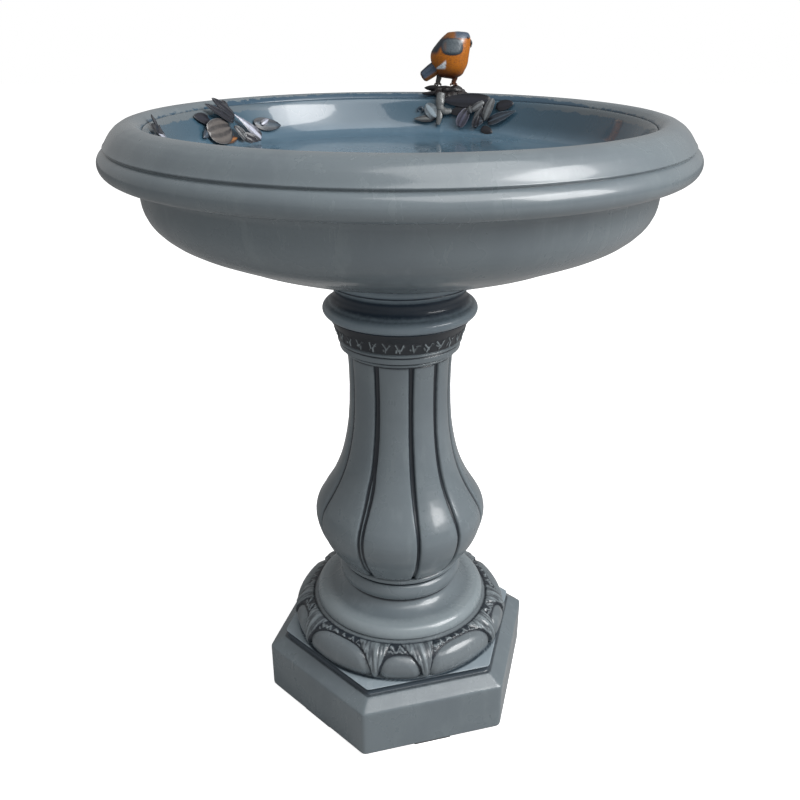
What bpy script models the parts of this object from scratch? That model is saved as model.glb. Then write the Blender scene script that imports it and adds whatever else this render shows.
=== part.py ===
"""Garden bird bath: a hexagonal plinth, a baluster pedestal of stacked castings clamped by a tie rod,
and a wide double-skinned bowl that lifts off, with a songbird on a branch and two flower sprays.

Metres, +Z up. The origin is on the ground under the middle of the pedestal, and -Y is the front.
"""

import math

import bmesh
import bpy
import numpy as np
from mathutils import Matrix, Vector

GAP = 0.0003  # clearance between pieces that rest on one another

# Heights at which one piece of the stack ends and the next begins
PAD_TOP = 0.0020
PLINTH_TOP = 0.0667
STEP_TOP = 0.0755
CUSHION_TOP = 0.1088
COLLAR_TOP = 0.1370
FOOT_RING_TOP = 0.1567
BEAD_TOP = 0.1650
SHAFT_TOP = 0.4032
NECK_TOP = 0.4200
FRIEZE_TOP = 0.4417
CAPITAL_TOP = 0.4876
GASKET_TOP = 0.4899
RIM_TOP = 0.6298

# Plinth, measured to its corners
PLINTH_R = 0.152
PLINTH_EDGE_Z = 0.0570
STEP_R = 0.1345
PLINTH_WALL = 0.011
DECK_LOW = 0.0580
PLINTH_CORNER = math.radians(-104.5)  # the corner nearest the front

# Hollow middle of the pedestal and the rod through it
LOWER_BORE = 0.050
UPPER_BORE = 0.036
ROD_R = 0.004
ROD_HOLE_R = 0.0048
SOCKET_R = 0.044
WEB_TOP, WEB_THICK = 0.463, 0.008
PLATE_SIZE = (0.120, 0.030, 0.004)
WASHER_R, WASHER_THICK = 0.0110, 0.0016
NUT_R, NUT_THICK = 0.0075, 0.0065

# Shaft grooves, in degrees anticlockwise from +X: the lobes are a little uneven, as carved ones are
GROOVES = (-156.5, -116.8, -77.7, -47.2, -17.0, 19.8, 56.5, 93.2, 130.0, 166.8)
GROOVE_DEPTH = 0.0034
LOBE_CROWN = 0.0010

# Cushion leaves come in pairs, one pair to each fifth of the ring
LEAF_PAIRS = 5
LEAF_HALF_PAIR = math.radians(13)
LEAF_RAISE = 0.0035

# Bowl
BOWL_HOLE_R = 0.0426
RIM_INNER_R = 0.2257
BASIN_R = RIM_INNER_R - GAP
LEDGE_Z = 0.5805
LEDGE_R = 0.2137
WALL_R = 0.2220
CREST_R = 0.2371

# Bird and branch, at this bearing on the rim
BIRD_BEARING = math.radians(76.2)
PERCH_R = 0.0036
PERCH_SINK = 0.0004  # the rim falls away this much under the branch
LEG_R, LEG_SPREAD = 0.0012, 0.0085
LEG_HEIGHTS = (0.0052, 0.0040)

# Flower sprays, at these bearings on the basin wall
SPRAY_HEIGHT = 0.6095
SPRAY_RIGHT, SPRAY_LEFT, FLOWER_LONE = (math.radians(a) for a in (64.6, 148.1, 184.0))
LEAF_ASIDE = math.radians(5.2)  # from the middle of a spray to where its leaves start
LEAF_THICK = 0.0022

FINE, MEDIUM, COARSE = 48, 32, 16  # steps around a turned piece

STONE_GREY = ((0.20, 0.235, 0.26), 0.28, 0.0)
DARK_GREY = ((0.10, 0.125, 0.15), 0.30, 0.0)
BASIN_BLUE = ((0.07, 0.13, 0.19), 0.15, 0.0)
LEAF_GREY = ((0.13, 0.13, 0.15), 0.35, 0.0)
BIRD_ORANGE = ((0.48, 0.17, 0.02), 0.35, 0.0)
BARK_BROWN = ((0.03, 0.025, 0.025), 0.45, 0.0)
STEEL = ((0.55, 0.55, 0.56), 0.35, 1.0)
RUBBER = ((0.02, 0.02, 0.02), 0.80, 0.0)


def clear_scene():
    """Empties the file of its objects."""
    for obj in list(bpy.data.objects):
        bpy.data.objects.remove(obj, do_unlink=True)


def material(name, finish):
    """One Principled material for one piece."""
    colour, roughness, metallic = finish
    made = bpy.data.materials.new(name)
    made.use_nodes = True
    shader = made.node_tree.nodes["Principled BSDF"]
    shader.inputs["Base Color"].default_value = (*colour, 1)
    shader.inputs["Roughness"].default_value = roughness
    shader.inputs["Metallic"].default_value = metallic
    return made


def add(name, bm, finish, parent=None, sharp=35):
    """Puts the bmesh into the scene as a named object, smooth but for its sharp edges."""
    bmesh.ops.recalc_face_normals(bm, faces=bm.faces)
    mesh = bpy.data.meshes.new(name)
    bm.to_mesh(mesh)
    bm.free()
    mesh.materials.append(material(name, finish))
    mesh.shade_smooth()
    mesh.set_sharp_from_angle(angle=math.radians(sharp))
    obj = bpy.data.objects.new(name, mesh)
    bpy.context.scene.collection.objects.link(obj)
    obj.parent = parent
    return obj


def arc(centre, radii, start, end, steps):
    """Points on an ellipse in the (radius, height) plane, from one angle to another in degrees."""
    angles = np.radians(np.linspace(start, end, steps + 1))
    return [(centre[0] + radii[0] * math.cos(a), centre[1] + radii[1] * math.sin(a)) for a in angles]


def turn(outline, steps, start=0.0):
    """A closed outline in the (radius, height) plane, spun once around Z."""
    bm = bmesh.new()
    spin_from = Matrix.Rotation(start, 4, "Z")
    corners = [bm.verts.new(spin_from @ Vector((r, 0, z))) for r, z in outline]
    edges = [bm.edges.new(pair) for pair in zip(corners, corners[1:] + corners[:1])]
    bmesh.ops.spin(
        bm, geom=corners + edges, cent=(0, 0, 0), axis=(0, 0, 1), angle=math.tau, steps=steps, use_merge=True
    )
    bmesh.ops.remove_doubles(bm, verts=bm.verts, dist=1e-6)
    return bm


def carve(bm, steps, bearings, offsets, within):
    """Moves each step of a turned mesh to its own bearing, and shifts its outer points by an offset.

    within(radius, height) gives the share of the offset that a point takes.
    """
    for vert in bm.verts:
        step = round(math.atan2(vert.co.y, vert.co.x) / math.tau * steps) % steps
        radius = math.hypot(vert.co.x, vert.co.y)
        radius += offsets[step] * within(radius, vert.co.z)
        vert.co.x = radius * math.cos(bearings[step])
        vert.co.y = radius * math.sin(bearings[step])


def box(size, matrix):
    """A box of this size, centred where the matrix puts it."""
    bm = bmesh.new()
    bmesh.ops.create_cube(bm, size=1, matrix=matrix @ Matrix.Diagonal((*size, 1)))
    return bm


def cylinder(radius, low, high, steps, centre=(0, 0)):
    """An upright cylinder between two heights."""
    bm = bmesh.new()
    place = Matrix.Translation((*centre, (low + high) / 2))
    bmesh.ops.create_cone(
        bm, cap_ends=True, segments=steps, radius1=radius, radius2=radius, depth=high - low, matrix=place
    )
    return bm


def close_rings(bm, rings):
    """Joins each ring of vertices to the next, and closes the first and the last with a face."""
    steps = len(rings[0])
    for low, high in zip(rings, rings[1:]):
        for k in range(steps):
            m = (k + 1) % steps
            bm.faces.new((low[k], low[m], high[m], high[k]))
    bm.faces.new(rings[0])
    bm.faces.new(rings[-1])
    return bm


def loft(path, sizes, steps, side=Vector((0, 1, 0))):
    """A closed body through elliptical rings. Each ring is square to the path, and sizes gives its
    half height across the path and its half width along side."""
    bm = bmesh.new()
    rings = []
    for i, centre in enumerate(path):
        along = (path[min(i + 1, len(path) - 1)] - path[max(i - 1, 0)]).normalized()
        across = along.cross(side).normalized()
        other = across.cross(along).normalized()
        ring = []
        for k in range(steps):
            a = math.tau * k / steps
            reach = across * sizes[i][0] * math.cos(a) + other * sizes[i][1] * math.sin(a)
            ring.append(bm.verts.new(centre + reach))
        rings.append(ring)
    return close_rings(bm, rings)


def cut(obj, cutter):
    """Subtracts a hidden cutter from an object."""
    cutter.hide_render = True
    cutter.display_type = "WIRE"
    boolean = obj.modifiers.new("bore", "BOOLEAN")
    boolean.operation = "DIFFERENCE"
    boolean.solver = "EXACT"
    boolean.object = cutter


def plinth_parts():
    """The hollow block, the moulded step on it and the six pads it stands on."""
    inner = PLINTH_R - PLINTH_WALL
    block = [
        (inner, PAD_TOP),
        (PLINTH_R, PAD_TOP),
        (PLINTH_R, PLINTH_EDGE_Z),
        (STEP_R, PLINTH_TOP),
        (LOWER_BORE, PLINTH_TOP),
        (LOWER_BORE, DECK_LOW),
        (inner - 0.012, DECK_LOW),
        (inner, DECK_LOW - 0.008),
    ]
    add("plinth", turn(block, 6, PLINTH_CORNER), STONE_GREY)
    base = PLINTH_TOP + GAP
    step = [
        (LOWER_BORE, base),
        (STEP_R - 0.0010, base),
        (STEP_R - 0.0022, base + 0.0022),
        (STEP_R - 0.0014, base + 0.0046),
        (STEP_R, base + 0.0058),
        (STEP_R - 0.0008, base + 0.0068),
        (0.1120, STEP_TOP),
        (LOWER_BORE, STEP_TOP),
    ]
    add("plinth_step", turn(step, 6, PLINTH_CORNER), DARK_GREY)
    reach = (PLINTH_R - PLINTH_WALL / 2) * math.cos(math.pi / 6)
    for i in range(6):
        turned = Matrix.Rotation(PLINTH_CORNER + math.pi / 6 + i * math.pi / 3, 4, "Z")
        place = turned @ Matrix.Translation((reach, 0, (PAD_TOP - GAP) / 2))
        add(f"foot_pad_{i + 1}", box((0.008, 0.040, PAD_TOP - GAP), place), RUBBER)


def leaf_cushion():
    """The swelling ring above the step, with a raised leaf at each leaf bearing."""
    steps = 50
    outline = [(LOWER_BORE, STEP_TOP + GAP)]
    outline += arc((0.0960, 0.0885), (0.0215, 0.0200), -39, 82, 7)
    outline += [(0.0960, CUSHION_TOP), (LOWER_BORE, CUSHION_TOP)]
    bm = turn(outline, steps)
    bearings = [math.tau * k / steps for k in range(steps)]
    fifth = math.tau / LEAF_PAIRS
    offsets = []
    for bearing in bearings:
        from_pair = (bearing + math.pi / 2 + fifth / 2) % fifth - fifth / 2
        near = abs(abs(from_pair) - LEAF_HALF_PAIR)
        offsets.append(LEAF_RAISE * max(0.0, 1 - near / math.radians(8)))
    carve(bm, steps, bearings, offsets, lambda r, z: float(r > 0.1 and z > 0.080))
    add("leaf_cushion", bm, LEAF_GREY)


def foot_turnings():
    """The flared collar, the round ring and the bead that carry the shaft."""
    collar = [(LOWER_BORE, CUSHION_TOP + GAP), (0.0925, CUSHION_TOP + GAP)]
    collar += arc((0.0860, 0.1120), (0.0086, 0.0105), -8, 86, 4)
    collar += arc((0.0856, 0.1370), (0.0240, 0.0138), 262, 188, 4)
    collar += [(0.0612, COLLAR_TOP), (LOWER_BORE, COLLAR_TOP)]
    add("foot_collar", turn(collar, MEDIUM), STONE_GREY)

    low, high = COLLAR_TOP + GAP, FOOT_RING_TOP
    middle = (low + high) / 2
    ring = [(LOWER_BORE, low)] + arc((0.0605, middle), (0.0071, high - middle), -86, 86, 6)
    ring += [(LOWER_BORE, high)]
    add("foot_ring", turn(ring, MEDIUM), STONE_GREY)

    low, high = FOOT_RING_TOP + GAP, BEAD_TOP
    bead = [(LOWER_BORE, low), (0.0625, low)] + arc((0.0632, 0.1616), (0.0030, 0.0030), -80, 80, 4)
    bead += [(0.0625, high), (LOWER_BORE, high)]
    add("bead_ring", turn(bead, MEDIUM), STONE_GREY)


def shaft():
    """The hollow baluster. Its outline swells low down, and ten grooves part it into lobes."""
    profile = [(0.0665, BEAD_TOP + GAP), (0.0786, 0.181), (0.0862, 0.195), (0.0905, 0.209), (0.0917, 0.221)]
    profile += [(0.0885, 0.233), (0.0796, 0.248), (0.0714, 0.262), (0.0636, 0.280), (0.0581, 0.300)]
    profile += [(0.0536, 0.327), (0.0517, 0.365), (0.0530, SHAFT_TOP)]
    radii, heights = zip(*profile)
    outline = [(LOWER_BORE, BEAD_TOP + GAP)] + profile
    outline += [(0.0400, SHAFT_TOP), (0.0480, 0.290), (0.0790, 0.232), (0.0790, 0.205)]
    shares = (0.0, 0.08, 0.34, 0.66, 0.92)
    heaves = (-1.0, -0.15, 0.9, 0.9, -0.15)
    steps = len(GROOVES) * len(shares)
    ends = GROOVES[1:] + (GROOVES[0] + 360,)
    bearings = [math.radians(a + (b - a) * s) for a, b in zip(GROOVES, ends) for s in shares]
    offsets = [h * (GROOVE_DEPTH if h < 0 else LOBE_CROWN) - LOBE_CROWN for h in heaves] * len(GROOVES)
    bm = turn(outline, steps)

    def outer(radius, height):
        return float(radius > np.interp(height, heights, radii) - 0.001)

    carve(bm, steps, bearings, offsets, outer)
    add("shaft", bm, STONE_GREY, sharp=50)


def neck_and_capital():
    """The banded neck, the leaf frieze and the capital with the socket for the bowl."""
    low = SHAFT_TOP + GAP
    neck = [(UPPER_BORE, low), (0.0545, low)] + arc((0.0542, 0.4060), (0.0027, 0.0019), -80, 80, 3)
    neck += [(0.0560, 0.4084), (0.0606, 0.4094), (0.0612, 0.4143), (0.0602, 0.4155)]
    neck += arc((0.0606, 0.4178), (0.0021, 0.0016), -60, 60, 2)
    neck += [(0.0612, NECK_TOP), (UPPER_BORE, NECK_TOP)]
    add("neck_ring", turn(neck, MEDIUM), STONE_GREY)

    low = NECK_TOP + GAP
    frieze = [(UPPER_BORE, low), (0.0630, low), (0.0637, 0.4235), (0.0660, 0.4320), (0.0702, 0.4390)]
    frieze += [(0.0715, FRIEZE_TOP), (UPPER_BORE, FRIEZE_TOP)]
    bm = turn(frieze, MEDIUM)
    bearings = [math.tau * k / MEDIUM for k in range(MEDIUM)]
    offsets = [0.0010 * (-1) ** k for k in range(MEDIUM)]
    carve(bm, MEDIUM, bearings, offsets, lambda r, z: float(r > 0.05 and 0.422 < z < 0.440))
    add("frieze", bm, DARK_GREY)

    low = FRIEZE_TOP + GAP
    capital = [(UPPER_BORE, low), (0.0725, low)] + arc((0.0690, 0.4489), (0.0080, 0.0066), -75, 75, 6)
    capital += arc((0.0725, 0.4650), (0.0072, 0.0085), 235, 130, 4)
    capital += [(0.0695, 0.4735), (0.0720, 0.4762), (0.0728, 0.4790), (0.0745, 0.4815)]
    capital += [(0.0745, CAPITAL_TOP), (SOCKET_R, CAPITAL_TOP), (SOCKET_R, WEB_TOP)]
    capital += [(ROD_HOLE_R, WEB_TOP), (ROD_HOLE_R, WEB_TOP - WEB_THICK), (UPPER_BORE, WEB_TOP - WEB_THICK)]
    add("capital", turn(capital, MEDIUM), DARK_GREY)

    low = CAPITAL_TOP + GAP
    gasket = [(0.0520, low), (0.0690, low), (0.0690, GASKET_TOP), (0.0520, GASKET_TOP)]
    add("seat_gasket", turn(gasket, MEDIUM), RUBBER)


def tie_rod_parts():
    """The rod, with a nut and a washer at each end, and the plate that it pulls up on."""
    plate_top = DECK_LOW - GAP
    plate_low = plate_top - PLATE_SIZE[2]
    middle = Matrix.Translation((0, 0, (plate_top + plate_low) / 2))
    plate = add("clamp_plate", box(PLATE_SIZE, middle), STEEL)
    cut(plate, add("clamp_plate_bore", cylinder(ROD_HOLE_R, 0.02, 0.08, COARSE), STEEL))

    washer, nut = WASHER_THICK, NUT_THICK
    stacks = {
        "lower": (plate_low - GAP - washer, plate_low - 2 * GAP - washer - nut),
        "upper": (WEB_TOP + GAP, WEB_TOP + 2 * GAP + washer),
    }
    for where, (washer_low, nut_low) in stacks.items():
        disc = [
            (ROD_HOLE_R, washer_low),
            (WASHER_R, washer_low),
            (WASHER_R, washer_low + washer),
            (ROD_HOLE_R, washer_low + washer),
        ]
        add(f"{where}_washer", turn(disc, COARSE), STEEL)
        body = add(f"{where}_nut", cylinder(NUT_R, nut_low, nut_low + nut, 6), STEEL)
        bore = cylinder(ROD_R + GAP, nut_low - 0.01, nut_low + 0.02, COARSE)
        cut(body, add(f"{where}_nut_bore", bore, STEEL))
    rod_low, rod_high = stacks["lower"][1] - 0.006, stacks["upper"][1] + nut + 0.004
    add("tie_rod", cylinder(ROD_R, rod_low, rod_high, COARSE), STEEL)


def bowl_parts(lift):
    """The outer bowl with its rolled rim, the glazed basin inside it and the spigot under it."""
    base = GASKET_TOP + GAP
    wall = 0.0080
    under = [(0.0760, base), (0.1140, 0.4984), (0.1520, 0.5084), (0.1824, 0.5204), (0.2067, 0.5308)]
    under += [(0.2215, 0.5406), (0.2303, 0.5512), (0.2340, 0.5614)]
    outline = [(BOWL_HOLE_R, base)] + under + [(0.2348, 0.5720), (0.2352, 0.5790), (0.2380, 0.5838)]
    outline += [(0.2480, 0.5858)]
    outline += arc((0.2548, 0.5985), (0.0112, 0.0110), -80, 75, 6)
    outline += [(0.2588, 0.6098), (0.2600, 0.6112), (0.2584, 0.6126)]
    outline += [(0.2567, 0.6160), (0.2536, 0.6205), (0.2492, 0.6249), (0.2438, 0.6282), (0.2390, 0.6296)]
    outline += [(0.2345, RIM_TOP), (0.2300, 0.6282), (RIM_INNER_R, 0.6245)]
    outline += [(RIM_INNER_R, LEDGE_Z), (LEDGE_R, LEDGE_Z), (LEDGE_R, LEDGE_Z - 0.0070), (0.2260, 0.5630)]
    outline += [(0.2220, 0.5545), (0.2140, 0.5455), (0.2020, 0.5382), (0.1790, 0.5280), (0.1500, 0.5164)]
    outline += [(0.1130, 0.5064), (0.0760, base + wall), (BOWL_HOLE_R, base + wall)]
    add("bowl", turn(outline, FINE), STONE_GREY, lift)

    floor, skin = 0.5857, 0.0050
    inside = arc((0.1930, 0.6155), (0.0290, 0.0275), -90, 0, 6)
    dish = [(0.0, floor)] + inside + [(WALL_R + 0.0006, 0.6222)]
    dish += [(BASIN_R, 0.6238), (BASIN_R, LEDGE_Z + GAP), (LEDGE_R - GAP, LEDGE_Z + GAP)]
    dish += [(LEDGE_R - GAP, floor - skin), (0.0, floor - skin)]
    add("basin", turn(dish, FINE), BASIN_BLUE, lift)

    flange = base + wall + GAP
    foot = WEB_TOP + 0.0050
    spigot = [(0.0350, foot), (0.0413, foot), (0.0423, foot + 0.0010), (0.0423, flange), (0.0580, flange)]
    spigot += [(0.0580, flange + 0.0040), (0.0350, flange + 0.0040)]
    add("bowl_spigot", turn(spigot, MEDIUM), DARK_GREY, lift)


def branch_and_bird(lift):
    """A songbird on a branch that lies along the rim, with a side shoot reaching into the bowl."""
    crest = Vector((CREST_R * math.cos(BIRD_BEARING), CREST_R * math.sin(BIRD_BEARING), RIM_TOP))
    mid = crest + Vector((-0.002, 0, GAP + PERCH_R + PERCH_SINK))
    along = Vector((1, -0.23, 0)).normalized()
    path = [mid + along * s for s in (-0.020, -0.012, 0.0, 0.012, 0.022)]
    path[0].z += 0.0022
    sizes = [(0.0016, 0.0016), (0.0032, 0.0034), (PERCH_R, 0.0046), (0.0036, 0.0052), (0.0018, 0.0026)]
    add("perch", loft(path, sizes, 12), BARK_BROWN, lift)

    inward = Vector((-math.cos(BIRD_BEARING), -math.sin(BIRD_BEARING), 0))
    top = mid + inward * 0.0060 - along * 0.004
    shoot = [
        top,
        top + inward * 0.0060 + Vector((0, 0, -0.0006)),
        top + inward * 0.0125 + Vector((0, 0, -0.0060)),
        top + inward * 0.0150 + Vector((0.001, 0, -0.0150)),
        top + inward * 0.0160 + Vector((0.003, 0, -0.0260)),
    ]
    sizes = [(0.0012, 0.0012), (0.0024, 0.0026), (0.0028, 0.0032), (0.0026, 0.0030), (0.0012, 0.0014)]
    add("side_shoot", loft(shoot, sizes, 10, side=along), BARK_BROWN, lift)

    feet = Vector((crest.x, crest.y, mid.z + PERCH_R + GAP))
    spine = ((-0.0300, 0.0080), (-0.0230, 0.0125), (-0.0125, 0.0172), (-0.0030, 0.0225), (0.0050, 0.0275))
    spine += ((0.0115, 0.0345), (0.0150, 0.0425), (0.0165, 0.0490), (0.0160, 0.0545), (0.0152, 0.0575))
    body = [feet + Vector((x, 0, z)) for x, z in spine]
    girth = ((0.0036, 0.0028), (0.0066, 0.0056), (0.0104, 0.0095), (0.0180, 0.0150), (0.0215, 0.0178))
    girth += ((0.0210, 0.0175), (0.0165, 0.0150), (0.0125, 0.0120), (0.0080, 0.0080), (0.0030, 0.0030))
    add("songbird", loft(body, girth, 16), BIRD_ORANGE, lift)
    for side, x, height in zip(("left", "right"), (-LEG_SPREAD, LEG_SPREAD), LEG_HEIGHTS):
        leg = cylinder(LEG_R, feet.z, feet.z + height, 8, (feet.x + x, feet.y))
        add(f"bird_leg_{side}", leg, BARK_BROWN, lift)


def on_wall(bearing, height, away, tilt=0.0):
    """A frame on the basin wall whose X runs along the wall, Y up it and Z away from it."""
    outward = Vector((math.cos(bearing), math.sin(bearing), 0))
    centre = outward * (WALL_R - away) + Vector((0, 0, height))
    normal = (-outward + Vector((0, 0, 0.25))).normalized()
    level = Vector((0, 0, 1)).cross(normal).normalized()
    axes = Matrix((level, normal.cross(level), normal)).transposed().to_4x4()
    return Matrix.Translation(centre) @ axes @ Matrix.Rotation(tilt, 4, "Z")


def flower(name, frame, radius, depth, petals, lift):
    """A shallow dome whose edge swings in and out once for each petal."""
    bm = bmesh.new()
    steps = petals * 6
    rings = []
    for share, rise in ((0.25, 0.87), (0.50, 1.0), (0.75, 0.87), (1.0, 0.19), (0.62, 0.0)):
        ring = []
        for k in range(steps):
            a = math.tau * k / steps
            reach = radius * share * (1 - 0.30 * share * math.cos(petals * a / 2) ** 2)
            point = Vector((reach * math.cos(a), reach * math.sin(a), depth * rise))
            ring.append(bm.verts.new(frame @ point))
        rings.append(ring)
    add(name, close_rings(bm, rings), LEAF_GREY, lift)


def leaf(name, frame, length, width, lift):
    """A pointed leaf lying along the frame's X, thickest at its middle rib."""
    shares = (0.0, 0.15, 0.40, 0.70, 1.0)
    spread = (0.12, 0.62, 1.0, 0.66, 0.10)
    rises = [LEAF_THICK * (0.5 + math.sin(math.pi * s)) for s in shares]
    path = [frame @ Vector((length * s, 0, rise)) for s, rise in zip(shares, rises)]
    sizes = [(width / 2 * w, LEAF_THICK / 4 * (1 + w)) for w in spread]
    normal = frame.to_3x3() @ Vector((0, 0, 1))
    add(name, loft(path, sizes, 8, side=normal), LEAF_GREY, lift)


def flower_sprays(lift):
    """Two sprays of one flower and its leaves on the basin wall, and one small flower by itself."""
    flower("flower_right", on_wall(SPRAY_RIGHT, SPRAY_HEIGHT, 0.0110), 0.0155, 0.0075, 5, lift)
    flower("flower_left", on_wall(SPRAY_LEFT, SPRAY_HEIGHT, 0.0110), 0.0155, 0.0075, 5, lift)
    flower("flower_lone", on_wall(FLOWER_LONE, SPRAY_HEIGHT, 0.0070), 0.0095, 0.0050, 5, lift)
    leaves = (
        ("leaf_right_1", SPRAY_RIGHT - LEAF_ASIDE, 0.6, 0.0260, 0.0120),
        ("leaf_right_2", SPRAY_RIGHT + LEAF_ASIDE, 166.0, 0.0240, 0.0110),
        ("leaf_left_1", SPRAY_LEFT - LEAF_ASIDE, 0.0, 0.0240, 0.0110),
        ("leaf_left_2", SPRAY_LEFT + LEAF_ASIDE, 172.0, 0.0220, 0.0110),
    )
    for name, bearing, tilt, length, width in leaves:
        leaf(name, on_wall(bearing, SPRAY_HEIGHT, 0.0060, math.radians(tilt)), length, width, lift)


def main():
    """Builds the pedestal, then the bowl and all that lifts off with it."""
    clear_scene()
    plinth_parts()
    leaf_cushion()
    foot_turnings()
    shaft()
    neck_and_capital()
    tie_rod_parts()
    lift = bpy.data.objects.new("bowl_lift", None)
    bpy.context.scene.collection.objects.link(lift)
    bowl_parts(lift)
    branch_and_bird(lift)
    flower_sprays(lift)


main()
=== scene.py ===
"""Glazed garden bird bath: the hexagonal plinth, the fluted pedestal and the wide bowl that lifts off it,
with the songbird, its branch and the flower sprays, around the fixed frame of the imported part.

Everything is in metres, +Z up and -Y to the front, as in the part. Outlines are given in millimetres.
"""

import logging
import math
from dataclasses import dataclass
from enum import Enum
from typing import Sequence

import bmesh
import bpy
import numpy as np
from mathutils import Matrix, Vector


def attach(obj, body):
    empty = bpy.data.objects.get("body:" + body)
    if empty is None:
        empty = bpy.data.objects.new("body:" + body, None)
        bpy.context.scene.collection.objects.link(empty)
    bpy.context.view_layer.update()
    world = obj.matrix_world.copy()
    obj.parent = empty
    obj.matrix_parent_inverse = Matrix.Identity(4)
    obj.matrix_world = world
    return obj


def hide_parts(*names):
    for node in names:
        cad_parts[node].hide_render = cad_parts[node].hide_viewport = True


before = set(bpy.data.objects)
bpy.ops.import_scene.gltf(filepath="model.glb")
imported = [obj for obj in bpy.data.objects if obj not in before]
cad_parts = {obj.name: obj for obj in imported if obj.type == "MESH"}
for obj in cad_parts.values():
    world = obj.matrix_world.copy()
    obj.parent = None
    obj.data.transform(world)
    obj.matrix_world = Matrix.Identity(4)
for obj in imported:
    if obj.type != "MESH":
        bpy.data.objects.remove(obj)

log = logging.getLogger("bird_bath")

MM = 0.001
TAU = math.tau
Array = np.ndarray
Point = tuple[float, float]
Place = tuple[float, float, float]
Colour = tuple[float, float, float]
Row = tuple[float, ...]

Node = bpy.types.Node
Socket = bpy.types.NodeSocket
Tree = bpy.types.NodeTree
Material = bpy.types.Material

PEDESTAL = "pedestal"
BOWL = "bowl"

HALF_SIDE = math.pi / 6  # half of the angle that a side of a hexagon takes
WELD = 1e-6  # points nearer than this become one
LEAST_EDGE = 1e-8
BLADE_ROWS, BLADE_COLUMNS = 26, 28


# ---------------------------------------------------------------- outlines and grids


def arc(centre: Point, radii: Point, start: float, end: float, steps: int = 24) -> list[Point]:
    """Points on an ellipse: the centre plus the radii times the cosine and sine of an even run of angles.

    Args:
        centre: Radius and height of the middle, in millimetres.
        radii: Half width and half height, in millimetres.
        start: First angle in degrees.
        end: Last angle in degrees.
        steps: How many steps the arc is cut into.

    Returns:
        The points as (radius, height) pairs.
    """
    a = np.radians(np.linspace(start, end, steps + 1))
    return list(zip(centre[0] + radii[0] * np.cos(a), centre[1] + radii[1] * np.sin(a)))


def softened(
    outline: Sequence[Point], soft: float, rows: int, crowd: float = 6.0, closed: bool = True
) -> Array:
    """A smooth copy of an outline: even samples blurred along the length, then spaced closer where it bends.

    The blur is a Gaussian of the given reach. The spacing follows one plus the crowd factor times how
    sharply the blurred line turns, so that the rolls and beads get most of the rows.

    Args:
        outline: (radius, height) pairs in millimetres.
        soft: Reach of the blur in millimetres, which is how round a corner becomes.
        rows: How many points come back.
        crowd: How much closer the rows lie in a bend.
        closed: Whether the last point joins the first.

    Returns:
        rows by 2 array of radius and height in metres.
    """
    points = np.array(outline, float)
    if closed:
        points = np.vstack([points, points[:1]])
    length = np.concatenate([[0], np.cumsum(np.hypot(*np.diff(points, axis=0).T))])
    step = min(0.25, soft / 2)
    count = int(length[-1] / step)
    at = np.linspace(0, length[-1], count, endpoint=not closed)
    line = np.stack([np.interp(at, length, points[:, k]) for k in (0, 1)], axis=1)
    reach = max(1, int(3 * soft / step))
    kernel = np.exp(-0.5 * (np.arange(-reach, reach + 1) * step / soft) ** 2)
    kernel /= kernel.sum()
    if closed:
        padded = np.vstack([line[-reach:], line, line[:reach]])
    else:
        padded = np.vstack([2 * line[0] - line[reach:0:-1], line, 2 * line[-1] - line[-2 : -reach - 2 : -1]])
    line = np.stack([np.convolve(padded[:, k], kernel, "valid") for k in (0, 1)], axis=1)
    around = np.vstack([line, line[:1]]) if closed else line
    turn = np.unwrap(np.arctan2(np.gradient(around[:, 1]), np.gradient(around[:, 0])))
    bend = np.abs(np.gradient(turn)) / step
    wide = max(3, int(1.5 / step))
    bend = np.convolve(np.minimum(bend, 1.0), np.ones(wide) / wide, "same")
    pace = np.concatenate([[0], np.cumsum(1 + crowd * bend[1:])])
    wanted = np.linspace(0, pace[-1], rows, endpoint=not closed)
    return np.stack([np.interp(wanted, pace, around[:, k]) for k in (0, 1)], axis=1) * MM


def placed(radius: Array, bearings: Array, height: Array) -> Array:
    """Places round Z: the radius times the bearing's cosine and sine, and the height."""
    heights = np.broadcast_to(height, np.broadcast_shapes(np.shape(radius), np.shape(bearings)))
    return np.stack([radius * np.cos(bearings), radius * np.sin(bearings), heights], axis=-1)


def around_axis(profile: Array, bearings: Array, offset: Array | float = 0.0) -> Array:
    """The profile carried round Z, with each point's radius moved out by its offset."""
    return placed(profile[:, :1] + offset, bearings, profile[:, 1:])


def evenly(columns: int) -> Array:
    """Bearings spaced evenly round the axis."""
    return np.linspace(0, TAU, columns, endpoint=False)


def crowded(centres: Sequence[float], reach: float, near: int, rest: int) -> Array:
    """Bearings with a close set about each centre and an even set over all the rest.

    Args:
        centres: Bearings in radians that need fine steps.
        reach: Half width in radians of the close sets.
        near: Steps in each close set.
        rest: Even steps round the whole circle.

    Returns:
        Sorted bearings in radians from 0 to a full turn.
    """
    close = np.add.outer(np.array(centres), reach * np.linspace(-1, 1, near)).ravel() % TAU
    every = evenly(rest)
    gap = np.abs((every[:, None] - np.array(centres) + math.pi) % TAU - math.pi).min(axis=1)
    return np.unique(np.concatenate([close, every[gap > reach * 1.02]]))


def ripple(bearings: Array, heights: Array, seed: int, size: float) -> Array:
    """The slow waviness of a hand-finished casting: three low sine waves round it, leaning with height."""
    rng = np.random.default_rng(seed)
    total = np.zeros((len(heights), len(bearings)))
    for waves in (2, 3, 5):
        lean, phase = rng.uniform(-25, 25), rng.uniform(0, TAU)
        total += np.sin(waves * bearings[None, :] + lean * heights[:, None] + phase) / waves
    return total * size


def smoothstep(low: float, high: float, x: Array) -> Array:
    """0 below low, 1 above high, and an S curve between."""
    t = np.clip((x - low) / (high - low), 0, 1)
    return t * t * (3 - 2 * t)


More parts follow.
